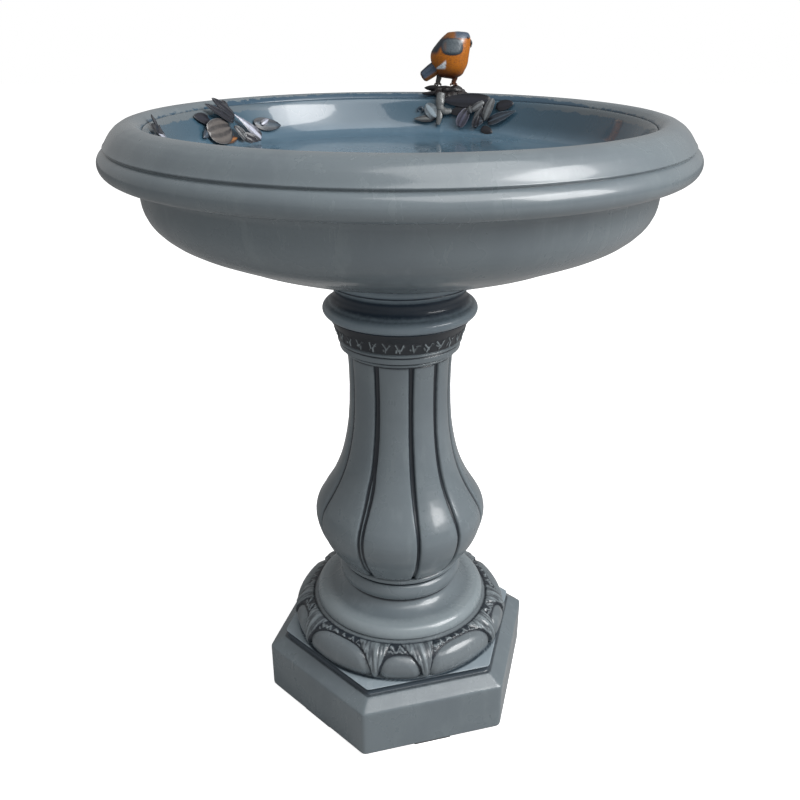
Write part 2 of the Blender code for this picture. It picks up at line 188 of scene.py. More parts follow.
class Casting:
    """Gathers grids of points into the mesh of one piece, with named values at its points."""

    def __init__(self, name: str, body: str, slot: str) -> None:
        """Starts an empty piece.

        Args:
            name: Name of the piece, and of the part node that it stands for.
            body: Part body that carries it.
            slot: Material slot of the record. Not used.
        """
        self.name, self.body, self.slot = name, body, slot
        self.points: list[Array] = []
        self.quads: list[Array] = []
        self.marks: dict[str, list[Array]] = {}
        self.count = 0

    def grid(self, points: Array, loop: bool = False, **marks: Array | float | Colour) -> None:
        """Adds a grid whose cells are joined in rows and columns, and whose last column joins the first.

        Args:
            points: rows by columns by 3 array of places.
            loop: Whether the last row joins the first.
            marks: Values at the points: one number or one array each, or a colour.
        """
        rows, columns = points.shape[:2]
        index = np.arange(rows * columns).reshape(rows, columns) + self.count
        index = np.hstack([index, index[:, :1]])
        if loop:
            index = np.vstack([index, index[:1]])
        quads = np.stack([index[:-1, :-1], index[:-1, 1:], index[1:, 1:], index[1:, :-1]], axis=-1)
        self.quads.append(quads.reshape(-1, 4))
        self.points.append(points.reshape(-1, 3))
        for key in set(marks) | set(self.marks):
            value = np.asarray(marks.get(key, 0.0), float)
            wide = 3 if key == "paint" else 1
            if wide == 3 and value.ndim == 0:
                value = np.zeros(3)
            filled = np.broadcast_to(value if wide == 3 else value[..., None], (rows, columns, wide))
            kept = self.marks.setdefault(key, [np.zeros((self.count, wide))])
            kept.append(filled.reshape(-1, wide))
        self.count += rows * columns

    def build(self, material: Material) -> None:
        """Makes the object, closes its seams and poles, turns its faces outward and binds it to its body.

        Args:
            material: Finish of the piece.
        """
        points, quads = np.vstack(self.points), np.vstack(self.quads)
        mesh = bpy.data.meshes.new(self.name)
        mesh.vertices.add(len(points))
        mesh.vertices.foreach_set("co", points.astype(np.float32).ravel())
        mesh.loops.add(quads.size)
        mesh.loops.foreach_set("vertex_index", quads.astype(np.int32).ravel())
        mesh.polygons.add(len(quads))
        mesh.polygons.foreach_set("loop_start", np.arange(0, quads.size, 4, dtype=np.int32))
        mesh.update(calc_edges=True)
        for key, parts in self.marks.items():
            values = np.vstack(parts)
            if values.shape[1] == 3:
                values = np.hstack([values, np.ones((len(values), 1))])
                made = mesh.attributes.new(key, "FLOAT_COLOR", "POINT")
                made.data.foreach_set("color", values.astype(np.float32).ravel())
            else:
                made = mesh.attributes.new(key, "FLOAT", "POINT")
                made.data.foreach_set("value", values.astype(np.float32).ravel())
        bm = bmesh.new()
        bm.from_mesh(mesh)
        bmesh.ops.remove_doubles(bm, verts=bm.verts, dist=WELD)
        bmesh.ops.dissolve_degenerate(bm, edges=bm.edges, dist=LEAST_EDGE)
        bmesh.ops.recalc_face_normals(bm, faces=bm.faces)
        bm.to_mesh(mesh)
        bm.free()
        mesh.shade_smooth()
        mesh.materials.append(material)
        obj = bpy.data.objects.new(self.name, mesh)
        bpy.context.scene.collection.objects.link(obj)
        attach(obj, self.body)
        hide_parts(self.name)
        log.info("%s: %d points", self.name, len(points))


# ---------------------------------------------------------------- finishes


class Shade:
    """A material's node tree, with short ways to add and join nodes."""

    def __init__(self, tree: Tree) -> None:
        """Keeps the tree that nodes are added to."""
        self.tree = tree

    def feed(self, socket: Socket, value: object) -> None:
        """Gives an input its value: a link from an output, a colour with full alpha, or a number."""
        if isinstance(value, Socket):
            self.tree.links.new(value, socket)
        elif socket.type == "RGBA":
            socket.default_value = (*value[:3], 1.0)
        else:
            socket.default_value = value

    def node(self, kind: str, **values: object) -> Node:
        """Adds a node and sets its inputs and settings.

        Args:
            kind: Type of the node, without its ShaderNode prefix.
            values: By name. A name that isn't an input is a setting of the node.

        Returns:
            The node.
        """
        made = self.tree.nodes.new("ShaderNode" + kind)
        for key, value in values.items():
            if key in made.inputs:
                self.feed(made.inputs[key], value)
            else:
                setattr(made, key, value)
        return made

    def math(self, operation: str, *inputs: object) -> Socket:
        """One step of arithmetic on numbers and outputs."""
        made = self.node("Math", operation=operation)
        for socket, value in zip(made.inputs, inputs):
            self.feed(socket, value)
        return made.outputs[0]

    def mix(self, share: object, first: object, second: object) -> Socket:
        """A colour between two others, by share."""
        made = self.node("Mix", data_type="RGBA")
        for socket, value in zip((made.inputs[0], made.inputs[6], made.inputs[7]), (share, first, second)):
            self.feed(socket, value)
        return made.outputs[2]

    def ramp(
        self, share: object, low: float | Socket, high: float | Socket, start: float = 0.0, end: float = 1.0
    ) -> Socket:
        """A number remapped smoothly from one range to another."""
        made = self.node("MapRange", interpolation_type="SMOOTHSTEP")
        for socket, value in zip(made.inputs, (share, low, high, start, end)):
            self.feed(socket, value)
        return made.outputs[0]

    def noise(self, place: Socket, scale: float | Socket, detail: float, roughness: float = 0.5) -> Socket:
        """The value of a fractal noise at each place."""
        made = self.node("TexNoise", Vector=place, Scale=scale, Detail=detail, Roughness=roughness)
        return made.outputs[0]

    def bump(self, shader: Node, strength: float, distance: float, height: Socket) -> None:
        """Bends the shader's surface by a height."""
        made = self.node("Bump", Strength=strength, Distance=distance, Height=height)
        self.link(made.outputs[0], shader.inputs["Normal"])

    def link(self, source: Socket, target: Socket) -> None:
        """Joins an output to an input."""
        self.tree.links.new(source, target)


def effect(
    name: str, inputs: dict[str, object], outputs: dict[str, str]
) -> tuple[Tree, Shade, dict[str, Socket], dict[str, Socket]]:
    """An empty node group with its sockets.

    Args:
        name: Name of the effect.
        inputs: Default of each input by name: a number or a colour.
        outputs: Socket kind of each output by name.

    Returns:
        The group, its Shade, its inputs' sockets and its outputs' sockets.
    """
    group = bpy.data.node_groups.new(name, "ShaderNodeTree")
    for key, value in inputs.items():
        kind = "NodeSocketColor" if isinstance(value, tuple) and len(value) == 3 else "NodeSocketFloat"
        kind = "NodeSocketVector" if key == "Place" else kind
        socket = group.interface.new_socket(key, in_out="INPUT", socket_type=kind)
        if kind != "NodeSocketVector":
            socket.default_value = (*value, 1.0) if kind == "NodeSocketColor" else value
    for key, kind in outputs.items():
        group.interface.new_socket(key, in_out="OUTPUT", socket_type=kind)
    shade = Shade(group)
    taken = group.nodes.new("NodeGroupInput")
    given = group.nodes.new("NodeGroupOutput")
    sources = {socket.name: socket for socket in taken.outputs if socket.name}
    targets = {socket.name: socket for socket in given.inputs if socket.name}
    return group, shade, sources, targets


def glaze_mottle() -> Tree:
    """Uneven glaze: broad clouds of a second colour, brushed streaks down the piece and fine speckle.

    The colour leans to the second one where the clouds are thick and to the thin one where the streaks
    run. Roughness follows the clouds, and the height is a slow orange peel with a few brush ridges.

    Returns:
        The node group.
    """
    group, s, taken, given = effect(
        "glaze mottle",
        {
            "Place": (),
            "Glaze": (0.2, 0.2, 0.2),
            "Pooled": (0.1, 0.1, 0.1),
            "Thin": (0.3, 0.3, 0.3),
            "Cloud Size": 18.0,
            "Clouds": 0.6,
            "Speckle": 0.3,
            "Roughness": 0.3,
        },
        {"Colour": "NodeSocketColor", "Roughness": "NodeSocketFloat", "Height": "NodeSocketFloat"},
    )
    place = taken["Place"]
    tall = s.node("Mapping", Vector=place, Scale=(1.0, 1.0, 0.22))
    streaks = s.noise(tall.outputs[0], 85.0, 5.0, 0.6)
    cloud = s.ramp(s.noise(place, taken["Cloud Size"], 4.0, 0.55), 0.42, 0.68)
    colour = s.mix(s.math("MULTIPLY", cloud, taken["Clouds"]), taken["Glaze"], taken["Pooled"])
    streak = s.math("MULTIPLY", s.ramp(streaks, 0.52, 0.75), 0.5)
    colour = s.mix(streak, colour, taken["Thin"])
    grain = s.math("MULTIPLY", s.ramp(s.noise(place, 520.0, 2.0), 0.58, 0.72), taken["Speckle"])
    s.link(s.mix(grain, colour, taken["Pooled"]), given["Colour"])
    rough = s.math("MULTIPLY_ADD", cloud, 0.12, taken["Roughness"])
    s.link(s.math("MULTIPLY_ADD", streak, 0.10, rough), given["Roughness"])
    s.link(s.math("MULTIPLY_ADD", streaks, 0.25, s.noise(place, 62.0, 3.0)), given["Height"])
    return group


def shade_and_highlight() -> Tree:
    """Painted shade in the hollows and painted highlight on the crests.

    The dark colour's share is the piece's own value at its points, broken up by noise so that its edge
    feathers: painted shade in hollows, creases and joints, and on the basin its real dark flecks. Crests
    take the light colour by their own share: painted highlight on ribs, edges, raised relief and the
    collar's top, and on the branch its grain and veins. The darkened places are a little rougher than the
    glaze round them.

    Returns:
        The node group.
    """
    group, s, taken, given = effect(
        "painted_light wash",
        {
            "Place": (),
            "Colour": (0.2, 0.2, 0.2),
            "Stain": (0.02, 0.02, 0.03),
            "Crest": (0.4, 0.4, 0.4),
            "Hollow Share": 0.0,
            "Crest Share": 0.0,
            "Feather": 0.35,
            "Roughness": 0.3,
        },
        {"Colour": "NodeSocketColor", "Roughness": "NodeSocketFloat", "Hollow": "NodeSocketFloat"},
    )
    fray = s.noise(taken["Place"], 240.0, 4.0, 0.65)
    offset = s.math("MULTIPLY", s.math("SUBTRACT", fray, 0.5), taken["Feather"])
    share = s.ramp(s.math("ADD", taken["Hollow Share"], offset), 0.12, 0.85)
    crest = s.ramp(s.math("ADD", taken["Crest Share"], offset), 0.25, 0.95)
    colour = s.mix(crest, taken["Colour"], taken["Crest"])
    s.link(s.mix(share, colour, taken["Stain"]), given["Colour"])
    s.link(s.math("MULTIPLY_ADD", share, 0.14, taken["Roughness"]), given["Roughness"])
    s.link(share, given["Hollow"])
    return group


def painted_edge() -> Tree:
    """A hand-brushed border between two colours: a level plus noise, so that the edge runs ragged.

    Returns:
        The node group.
    """
    group, s, taken, given = effect(
        "painted edge",
        {"Place": (), "Level": 0.0, "Ragged": 0.003, "Soft": 0.0008},
        {"Mask": "NodeSocketFloat"},
    )
    jag = s.noise(taken["Place"], 95.0, 5.0, 0.62)
    wander = s.math("MULTIPLY", s.math("SUBTRACT", jag, 0.5), taken["Ragged"])
    level = s.math("ADD", taken["Level"], wander)
    low = s.math("MULTIPLY", taken["Soft"], -1.0)
    s.link(s.ramp(level, low, taken["Soft"]), given["Mask"])
    return group


class Workshop:
    """Builds each node group once, and hands it to the materials that use it."""

    def __init__(self) -> None:
        """Makes the shared effects."""
        self.mottle = glaze_mottle()
        self.wash = shade_and_highlight()
        self.edge = painted_edge()

    def place(self, s: Shade, group: Tree, **values: object) -> Node:
        """Puts a group into a material.

        Args:
            s: The material's Shade.
            group: The effect.
            values: Inputs by name, with underscores for spaces.

        Returns:
            The group node.
        """
        made = s.tree.nodes.new("ShaderNodeGroup")
        made.node_tree = group
        for key, value in values.items():
            s.feed(made.inputs[key.replace("_", " ")], value)
        return made


def new_material(name: str) -> tuple[Material, Shade, Node, Socket]:
    """A material with its Principled shader and the Object coordinates of its piece."""
    made = bpy.data.materials.new(name)
    made.use_nodes = True
    s = Shade(made.node_tree)
    shader = made.node_tree.nodes["Principled BSDF"]
    place = s.node("TexCoord").outputs["Object"]
    return made, s, shader, place


def mark(s: Shade, name: str) -> Socket:
    """The value that a piece carries at its points under this name."""
    return s.node("Attribute", attribute_name=name).outputs["Fac"]


@dataclass(frozen=True)
class Glaze:
    """A glossy ceramic glaze with painted shade in its hollows and painted highlight on its crests."""

    name: str
    colour: Colour
    pooled: Colour
    thin: Colour
    # Colours of the painted shade in hollows and joints, which the basin's real dark flecks take too, and of
    # the painted highlight on crests.
    painted_shade: Colour = (0.010, 0.016, 0.024)
    crest: Colour = (0.24, 0.28, 0.30)
    cloud_size: float = 16.0
    clouds: float = 0.55
    speckle: float = 0.25
    roughness: float = 0.26
    coat: float = 0.5
    coat_roughness: float = 0.10
    peel: float = 0.05
    peel_depth: float = 0.0006
    feather: float = 0.35

    def build(self, shop: Workshop) -> Material:
        """The glaze as nodes: mottled colour, painted shade and highlight, over a bump of orange peel.

        Args:
            shop: The shared effects.

        Returns:
            The material.
        """
        made, s, shader, place = new_material(self.name)
        mottle = shop.place(
            s,
            shop.mottle,
            Place=place,
            Glaze=self.colour,
            Pooled=self.pooled,
            Thin=self.thin,
            Cloud_Size=self.cloud_size,
            Clouds=self.clouds,
            Speckle=self.speckle,
            Roughness=self.roughness,
        )
        wash = shop.place(
            s,
            shop.wash,
            Place=place,
            Colour=mottle.outputs["Colour"],
            Stain=self.painted_shade,
            Crest=self.crest,
            Hollow_Share=mark(s, "wash"),
            Crest_Share=mark(s, "crest"),
            Feather=self.feather,
            Roughness=mottle.outputs["Roughness"],
        )
        s.link(self.tint(shop, s, place, wash.outputs["Colour"]), shader.inputs["Base Color"])
        s.link(wash.outputs["Roughness"], shader.inputs["Roughness"])
        s.bump(shader, self.peel, self.peel_depth, mottle.outputs["Height"])
        shader.inputs["Coat Weight"].default_value = self.coat
        shader.inputs["Coat Roughness"].default_value = self.coat_roughness
        return made

    def tint(self, shop: Workshop, s: Shade, place: Socket, shaded_colour: Socket) -> Socket:
        """The colour that goes to the shader: the glaze with its painted shade and highlight, as it is."""
        return shaded_colour


@dataclass(frozen=True)
class RimGlaze(Glaze):
    """The bowl's grey glaze, which meets the basin's blue in a hand-brushed edge inside the rim."""

    blue: Colour = (0.035, 0.075, 0.115)
    meet_radius: float = 0.2262
    crest_reach: float = 0.0042

    def tint(self, shop: Workshop, s: Shade, place: Socket, shaded_colour: Socket) -> Socket:
        """Blue inside the meeting radius, which nears the crest at the back, and painted-shaded grey outside
        it.
        """
        flat = s.node("Mapping", Vector=place, Scale=(1.0, 1.0, 0.0))
        radius = s.node("VectorMath", operation="LENGTH")
        s.link(flat.outputs[0], radius.inputs[0])
        axes = s.node("SeparateXYZ", Vector=place).outputs
        meet = s.math("MULTIPLY_ADD", s.ramp(axes["Y"], 0.09, 0.19), self.crest_reach, self.meet_radius)
        inside = s.math("SUBTRACT", meet, radius.outputs["Value"])
        edge = shop.place(s, shop.edge, Place=place, Level=inside, Ragged=0.010, Soft=0.0005)
        share = s.math("MULTIPLY", edge.outputs[0], s.ramp(axes["Z"], 0.600, 0.606))
        return s.mix(share, shaded_colour, self.blue)


@dataclass(frozen=True)
class BasinGlaze(Glaze):
    """The blue glaze of the basin: darker up its wall, pale on the floor, with a few dark flecks."""

    wall: Colour = (0.044, 0.092, 0.132)
    grey: Colour = (0.120, 0.145, 0.160)
    floor_height: float = 0.588
    wall_height: float = 0.604
    grey_height: float = 0.6175

    def tint(self, shop: Workshop, s: Shade, place: Socket, shaded_colour: Socket) -> Socket:
        """The wall colour by height over the flecked floor glaze, and the rim's grey run ragged down its top.
        """
        axes = s.node("SeparateXYZ", Vector=place).outputs
        height = axes["Z"]
        drift = s.noise(place, 30.0, 4.0)
        level = s.math("MULTIPLY_ADD", s.math("SUBTRACT", drift, 0.5), 0.010, height)
        share = s.ramp(level, self.floor_height, self.wall_height)
        blue = s.mix(share, shaded_colour, self.wall)
        above = s.math("SUBTRACT", height, self.grey_height)
        edge = shop.place(s, shop.edge, Place=place, Level=above, Ragged=0.010, Soft=0.0005)
        front = s.math("SUBTRACT", 1.0, s.ramp(axes["Y"], 0.11, 0.20))
        run = s.math("MULTIPLY", edge.outputs[0], front)
        return s.mix(run, blue, self.grey)


@dataclass(frozen=True)
class Painted:
    """Glossy enamel brushed on by hand: the piece's own paint values, streaked, with painted shade in its
    hollows and painted highlight on its crests.
    """

    name: str
    painted_shade: Colour = (0.010, 0.010, 0.014)
    roughness: float = 0.30
    coat: float = 0.35
    streaks: float = 0.25

    def build(self, shop: Workshop) -> Material:
        """The paint as nodes: point colours, brush streaks, then painted shade in the hollows and highlight
        on crests.
        """
        made, s, shader, place = new_material(self.name)
        paint = s.node("Attribute", attribute_name="paint").outputs["Color"]
        brush = s.noise(place, 700.0, 4.0, 0.6)
        # Brush streaks darken towards the same colour as the painted shade.
        dark = s.mix(self.streaks, paint, self.painted_shade)
        colour = s.mix(s.ramp(brush, 0.45, 0.68), paint, dark)
        wash = shop.place(
            s,
            shop.wash,
            Place=place,
            Colour=colour,
            Stain=self.painted_shade,
            # Light colour of the painted highlight on petal ribs and edges; on the branch it lightens the
            # grain and veins.
            Crest=(0.55, 0.58, 0.60),
            Hollow_Share=mark(s, "wash"),
            Crest_Share=mark(s, "crest"),
            Feather=0.5,
            Roughness=self.roughness,
        )
        s.link(wash.outputs["Colour"], shader.inputs["Base Color"])
        s.link(wash.outputs["Roughness"], shader.inputs["Roughness"])
        s.bump(shader, 0.25, 0.0003, brush)
        shader.inputs["Coat Weight"].default_value = self.coat
        shader.inputs["Coat Roughness"].default_value = 0.12
        return made


@dataclass(frozen=True)
class Steel:
    """Zinc-plated steel: a brushed sheen with dull patches."""

    name: str = "zinc steel"
    bright: Colour = (0.52, 0.53, 0.55)
    dull: Colour = (0.30, 0.31, 0.33)

    def build(self, shop: Workshop) -> Material:
        """The metal as nodes: patches of dull zinc and a fine drawn grain."""
        made, s, shader, place = new_material(self.name)
        patches = s.noise(place, 160.0, 5.0)
        share = s.ramp(patches, 0.42, 0.66)
        s.link(s.mix(share, self.bright, self.dull), shader.inputs["Base Color"])
        s.link(s.ramp(patches, 0.3, 0.7, 0.24, 0.48), shader.inputs["Roughness"])
        s.bump(shader, 0.15, 0.0002, s.noise(place, 1400.0, 2.0))
        shader.inputs["Metallic"].default_value = 1.0
        return made


@dataclass(frozen=True)
class Rubber:
    """Black rubber with a bloom of dust."""

    name: str = "black rubber"
    black: Colour = (0.018, 0.018, 0.019)
    dust: Colour = (0.060, 0.060, 0.058)

    def build(self, shop: Workshop) -> Material:
        """The rubber as nodes: dust in clouds over a fine pebbled skin."""
        made, s, shader, place = new_material(self.name)
        clouds = s.noise(place, 90.0, 5.0)
        s.link(s.mix(s.ramp(clouds, 0.45, 0.75), self.black, self.dust), shader.inputs["Base Color"])
        s.link(s.ramp(clouds, 0.3, 0.7, 0.55, 0.80), shader.inputs["Roughness"])
        s.bump(shader, 0.3, 0.0003, s.noise(place, 900.0, 2.0))
        return made


class Finish(Enum):
    """The finishes of the bird bath."""

    STONE = Glaze("stone grey glaze", (0.150, 0.180, 0.198), (0.122, 0.148, 0.168), (0.185, 0.218, 0.234))
    RIM = RimGlaze("rim glaze", (0.150, 0.180, 0.198), (0.122, 0.148, 0.168), (0.185, 0.218, 0.234))
    CAPITAL = Glaze(
        "capital glaze",
        (0.176, 0.223, 0.257),
        (0.128, 0.169, 0.205),
        (0.230, 0.277, 0.304),
        painted_shade=(0.006, 0.017, 0.032),
        roughness=0.34,
        coat=0.4,
    )
    # The stone glaze painted twice as light: painted light on the up-facing step top, whose side gets painted
    # shade.
    LIT_STEP = Glaze(
        "step glaze",
        (0.300, 0.358, 0.396),
        (0.228, 0.278, 0.314),
        (0.366, 0.420, 0.450),
        painted_shade=(0.028, 0.043, 0.058),
    )
    FRIEZE = Glaze(
        "frieze glaze",
        (0.014, 0.018, 0.024),
        (0.008, 0.012, 0.018),
        (0.024, 0.030, 0.038),
        roughness=0.4,
        coat=0.2,
    )
    LEAF = Glaze(
        "leaf glaze",
        (0.150, 0.175, 0.190),
        (0.108, 0.128, 0.142),
        (0.195, 0.222, 0.235),
        speckle=0.5,
        feather=0.6,
    )
    BASIN = BasinGlaze(
        "basin glaze",
        (0.086, 0.150, 0.205),
        (0.062, 0.115, 0.165),
        (0.112, 0.182, 0.240),
        cloud_size=9.0,
        roughness=0.26,
        coat=0.75,
        coat_roughness=0.05,
    )
    PETALS = Painted("petal enamel")
    FEATHERS = Painted("feather enamel", roughness=0.46, coat=0.08, streaks=0.40)
    BARK = Painted("bark enamel", roughness=0.42, coat=0.15)
    STEEL = Steel()
    RUBBER = Rubber()


class Finishes:
    """The built materials, each made the first time that it is asked for."""

    def __init__(self) -> None:
        """Opens the workshop."""
        self.shop = Workshop()
        self.made: dict[Finish, Material] = {}

    def __getitem__(self, finish: Finish) -> Material:
        """The material of a finish."""
        if finish not in self.made:
            self.made[finish] = finish.value.build(self.shop)
        return self.made[finish]


# ---------------------------------------------------------------- pedestal


@dataclass
class Plinth:
    """The hexagonal block and the moulded step on it."""

    corner_bearing: float = math.radians(-104.5)
    sharpness: float = 110.0
    inset: float = 0.0001
    seat: float = 116.5
    joint: float = 135.2
    block: tuple[Point, ...] = (
        (141.0, 2.0), (152.6, 2.0), (153.0, 3.2), (153.0, 56.6), (151.9, 57.6), (136.0, 66.6),
        (133.0, 66.7), (50.0, 66.7), (50.0, 58.0), (129.0, 58.0), (141.0, 50.0),
    )
    step: tuple[Point, ...] = (
        (50.0, 67.0), (134.2, 67.0), (133.0, 67.7), (132.2, 69.4), (132.3, 71.4), (133.3, 73.0),
        (134.6, 73.9), (134.9, 74.5), (134.2, 75.1), (112.0, 75.5), (50.0, 75.5),
    )

    def hexagonal(self, profile: Array, bearings: Array) -> Array:
        """The profile carried round a hexagon with soft corners.

        The radius in a direction is the distance to the flats over the sixth-side power mean of how far
        that direction faces each flat, which is a hexagon whose corners are slightly round.

        Args:
            profile: Corner radius and height of each row.
            bearings: Bearing of each column.

        Returns:
            Grid of points.
        """
        flats = self.corner_bearing + HALF_SIDE + np.arange(6) * math.pi / 3
        facing = np.maximum(0.0, np.cos(bearings[:, None] - flats))
        reach = math.cos(HALF_SIDE) / (facing**self.sharpness).sum(axis=1) ** (1 / self.sharpness)
        return placed(profile[:, :1] * reach, bearings, profile[:, 1:])

    def build(self, finishes: Finishes) -> None:
        """Makes the block and the step."""
        corners = self.corner_bearing + np.arange(6) * math.pi / 3
        bearings = crowded(list(corners % TAU), math.radians(5), 19, 150)
        for name, outline, soft, slot, finish, painted_shade in (
            ("plinth", self.block, 0.9, "grey_glaze", Finish.STONE, self.block_shade),
            ("plinth_step", self.step, 0.35, "dark_glaze", Finish.LIT_STEP, self.step_shade),
        ):
            profile = softened(outline, soft, 120)
            points = self.hexagonal(profile, bearings)
            low = ripple(bearings, profile[:, 1], 3, 0.00018)
            outward = points[:, :, :2] / np.hypot(points[:, :, 0], points[:, :, 1])[:, :, None]
            points[:, :, :2] += outward * (low - self.inset)[:, :, None]
            piece = Casting(name, PEDESTAL, slot)
            piece.grid(points, loop=True, wash=painted_shade(profile, points))
            piece.build(finishes[finish])

    def step_shade(self, profile: Array, points: Array) -> Array:
        """Painted shade in the cove under the step's lip and where the cushion sits on it."""
        height = profile[:, 1:] / MM
        radius = np.hypot(points[:, :, 0], points[:, :, 1]) / MM
        cove = smoothstep(75.0, 74.4, height) * (profile[:, :1] / MM > 120)
        seat = np.exp(-(((radius - self.seat) / 2.2) ** 2)) * (height > 74)
        return np.clip(cove + 0.9 * seat, 0, 1)

    def block_shade(self, profile: Array, points: Array) -> Array:
        """Painted shade in the line where the step meets the block."""
        height, corner = profile[:, 1:] / MM, profile[:, :1] / MM
        joint = np.exp(-(((corner - self.joint) / 1.1) ** 2)) * (height > 60)
        return np.broadcast_to(joint, points.shape[:2])


@dataclass
class LeafCushion:
    """The swelling ring of pillows, with pairs of hanging leaves and curls cast on it."""

    centre: Point = (96.0, 88.5)
    radii: Point = (21.0, 19.6)
    pairs: int = 5
    half_pair: float = 13.0
    first_pair: float = -90.0
    mm_per_degree: float = 1.92
    length: float = 44.0
    low: float = 75.8
    high: float = 108.8
    bore: float = 50.0
    arc_ends: tuple[float, float] = (-41, 84)
    leaf_gap: float = 3.6
    crowns: tuple[float, float] = (31.5, 37.5)
    arch_power: float = 2.6
    pillow_rise: float = 2.6
    leaf_rise: float = 3.3
    highest: float = 4.4

    def relief(self, x: Array, y: Array) -> tuple[Array, Array, Array]:
        """Height of the casting over the plain ring, in millimetres, with its stain and its crests.

        Two arches stand side by side in each fifth: a narrow one between the leaves of a pair and a wide
        one between the pairs. Inside an arch the surface swells to a pillow. Outside it the leaves stand
        up, with ribs that fan out from the tip, and small curls fill the band under the collar.

        Args:
            x: Distance round the ring from the middle of the nearest pair, in millimetres.
            y: Distance up over the ring from its foot, in millimetres.

        Returns:
            Height, painted shade share and painted highlight share.
        """
        fifth = 72 * self.mm_per_degree
        leaf_at = self.half_pair * self.mm_per_degree
        side = np.where(np.abs(x) < leaf_at, 0.0, 1.0)
        middle = np.where(side > 0, np.sign(x) * fifth / 2, 0.0)
        half = np.where(side > 0, fifth / 2 - leaf_at, leaf_at) - self.leaf_gap
        crown = np.where(side > 0, self.crowns[1], self.crowns[0])
        across = np.abs((x - middle) / half)
        power = self.arch_power
        inside = (across**power + np.clip(y / crown, 0, None) ** power) ** (1 / power)
        depth = (1 - inside) * np.minimum(half, crown)
        pillow = smoothstep(0, 7.0, depth) * self.pillow_rise
        spine = np.abs(x) - leaf_at - 1.5 * np.sin(np.clip(y, 0, 44) * 0.105) * np.sign(x)
        outer = np.where(np.sign(x) * spine > 0, 0.86, 1.24)
        halfwidth = (2.0 + 0.25 * np.clip(y - 3, 0, None) + 0.0085 * np.clip(y - 16, 0, None) ** 2) * outer
        fan = np.clip(np.abs(spine) / halfwidth, 0, 1.6)
        lobe = smoothstep(1.08, 0.90, fan) * smoothstep(1.0, 4.5, y) * smoothstep(44.5, 41.0, y)
        count = 2.6 + 0.8 * np.sin(x * 0.9 + 2.0)
        rib = np.cos(fan * count * math.pi)
        ribs = 0.50 * rib * smoothstep(2.0, 10.0, y)
        bend = 0.25 * np.cos(fan * 5.4 * math.pi + 0.13 * y) * smoothstep(12, 22, y)
        flare = 1.3 * np.exp(-(((y - 9.0) / 6.0) ** 2))
        leaf = lobe * (self.leaf_rise - 1.6 * fan**2 + ribs + bend + flare) * smoothstep(0.5, 6, y)
        over = smoothstep(0.3, -0.6, depth)
        curls = self.curls(x - middle, y) * over
        filler = over * (1 - lobe) * (0.5 + curls)
        kept = np.maximum(over, smoothstep(1.0, 0.7, fan) * 0.9)
        height = np.maximum(leaf * kept, pillow * (1 - over)) + filler
        # Painted shade round pillows, along leaf edges and furrows, under curls and at the foot; painted
        # highlight on ribs and curls.
        rim = np.exp(-((depth / 1.0) ** 2))
        edge = np.exp(-(((fan - 1.05) * halfwidth / 0.9) ** 2)) * smoothstep(1, 5, y)
        furrow = smoothstep(0.15, -0.9, rib) * lobe * smoothstep(6, 16, y)
        under = over * (1 - lobe) * smoothstep(0.9, -0.1, curls)
        foot = smoothstep(3.4, 0.8, y)
        painted_shade = np.clip(0.95 * rim + 0.75 * edge + 0.55 * furrow + 0.8 * under + 0.9 * foot, 0, 1)
        crest = np.clip(lobe * smoothstep(0.3, 0.95, rib) * smoothstep(8, 20, y), 0, 1)
        crest = np.maximum(crest * 0.7, over * (1 - lobe) * smoothstep(0.9, 1.6, curls) * 0.8)
        lower = height - 1.3 * rim * (1 - lobe) - 0.7 * edge * over
        return lower, painted_shade, crest * (1 - painted_shade)

    def curls(self, x: Array, y: Array) -> Array:
        """Small folded leaves and scrolls under the collar: bells over a swaying zigzag, and rings.

        Args:
            x: Distance round the ring from the middle of the arch, in millimetres.
            y: Distance up over the ring from its foot, in millimetres.

        Returns:
            Height in millimetres.
        """
        sway = 1.1 * np.sin(x * 0.37) + 0.8 * np.sin(x * 0.93 + 1.0)
        fold = np.abs(((x + sway) / 5.6) % 2 - 1)
        rise = y - 33.5 - 8.0 * fold - 0.8 * np.sin(x * 0.61)
        vees = 1.9 * np.exp(-((rise / 1.5) ** 2)) + 1.2 * np.exp(-(((rise + 5.2) / 1.2) ** 2))
        for at, up, size in ((9.0, 38.4, 4.0), (29.5, 36.8, 4.6)):
            away = np.hypot(np.abs(x) - at, (y - up) * 1.10)
            vees += 1.1 * np.cos(away / size * math.pi * 0.95) * np.exp(-((away / size) ** 2))
        return vees * (0.75 + 0.25 * np.sin(x * 0.5 + 0.6))

    def build(self, finishes: Finishes) -> None:
        """Makes the ring."""
        bearings = evenly(760)
        over = np.array(arc(self.centre, self.radii, *self.arc_ends, 110)) * MM
        gap = np.degrees(bearings) - self.first_pair
        fifth = 360 / self.pairs
        x = ((gap + fifth / 2) % fifth - fifth / 2) * self.mm_per_degree
        y = np.linspace(0, self.length, len(over))
        height, painted_shade, crest = self.relief(*np.meshgrid(x, y))
        a = np.radians(np.linspace(*self.arc_ends, len(over)))
        normal = np.stack([np.cos(a), np.sin(a)], axis=1)
        ease = smoothstep(0, 3, y)[:, None] * smoothstep(self.length, self.length - 2, y)[:, None]
        out = np.minimum(height, self.highest) * ease * MM - 0.0012 * (1 - ease)
        out += ripple(bearings, over[:, 1], 11, 0.0003)
        radius = over[:, :1] + normal[:, :1] * out
        z = over[:, 1:] + normal[:, 1:] * out * 0.6
        shell = placed(radius, bearings, np.clip(z, self.low * MM, self.high * MM))
        low, high = self.low, self.high
        hollow = ((self.centre[0], high), (self.bore, high), (self.bore, low), (108.0, low))
        inner = around_axis(np.array(hollow) * MM, bearings)
        piece = Casting("leaf_cushion", PEDESTAL, "leaf_glaze")
        wash, highlight = (np.vstack([share, np.zeros(inner.shape[:2])]) for share in (painted_shade, crest))
        piece.grid(np.vstack([shell, inner]), loop=True, wash=wash, crest=highlight)
        piece.build(finishes[Finish.LEAF])


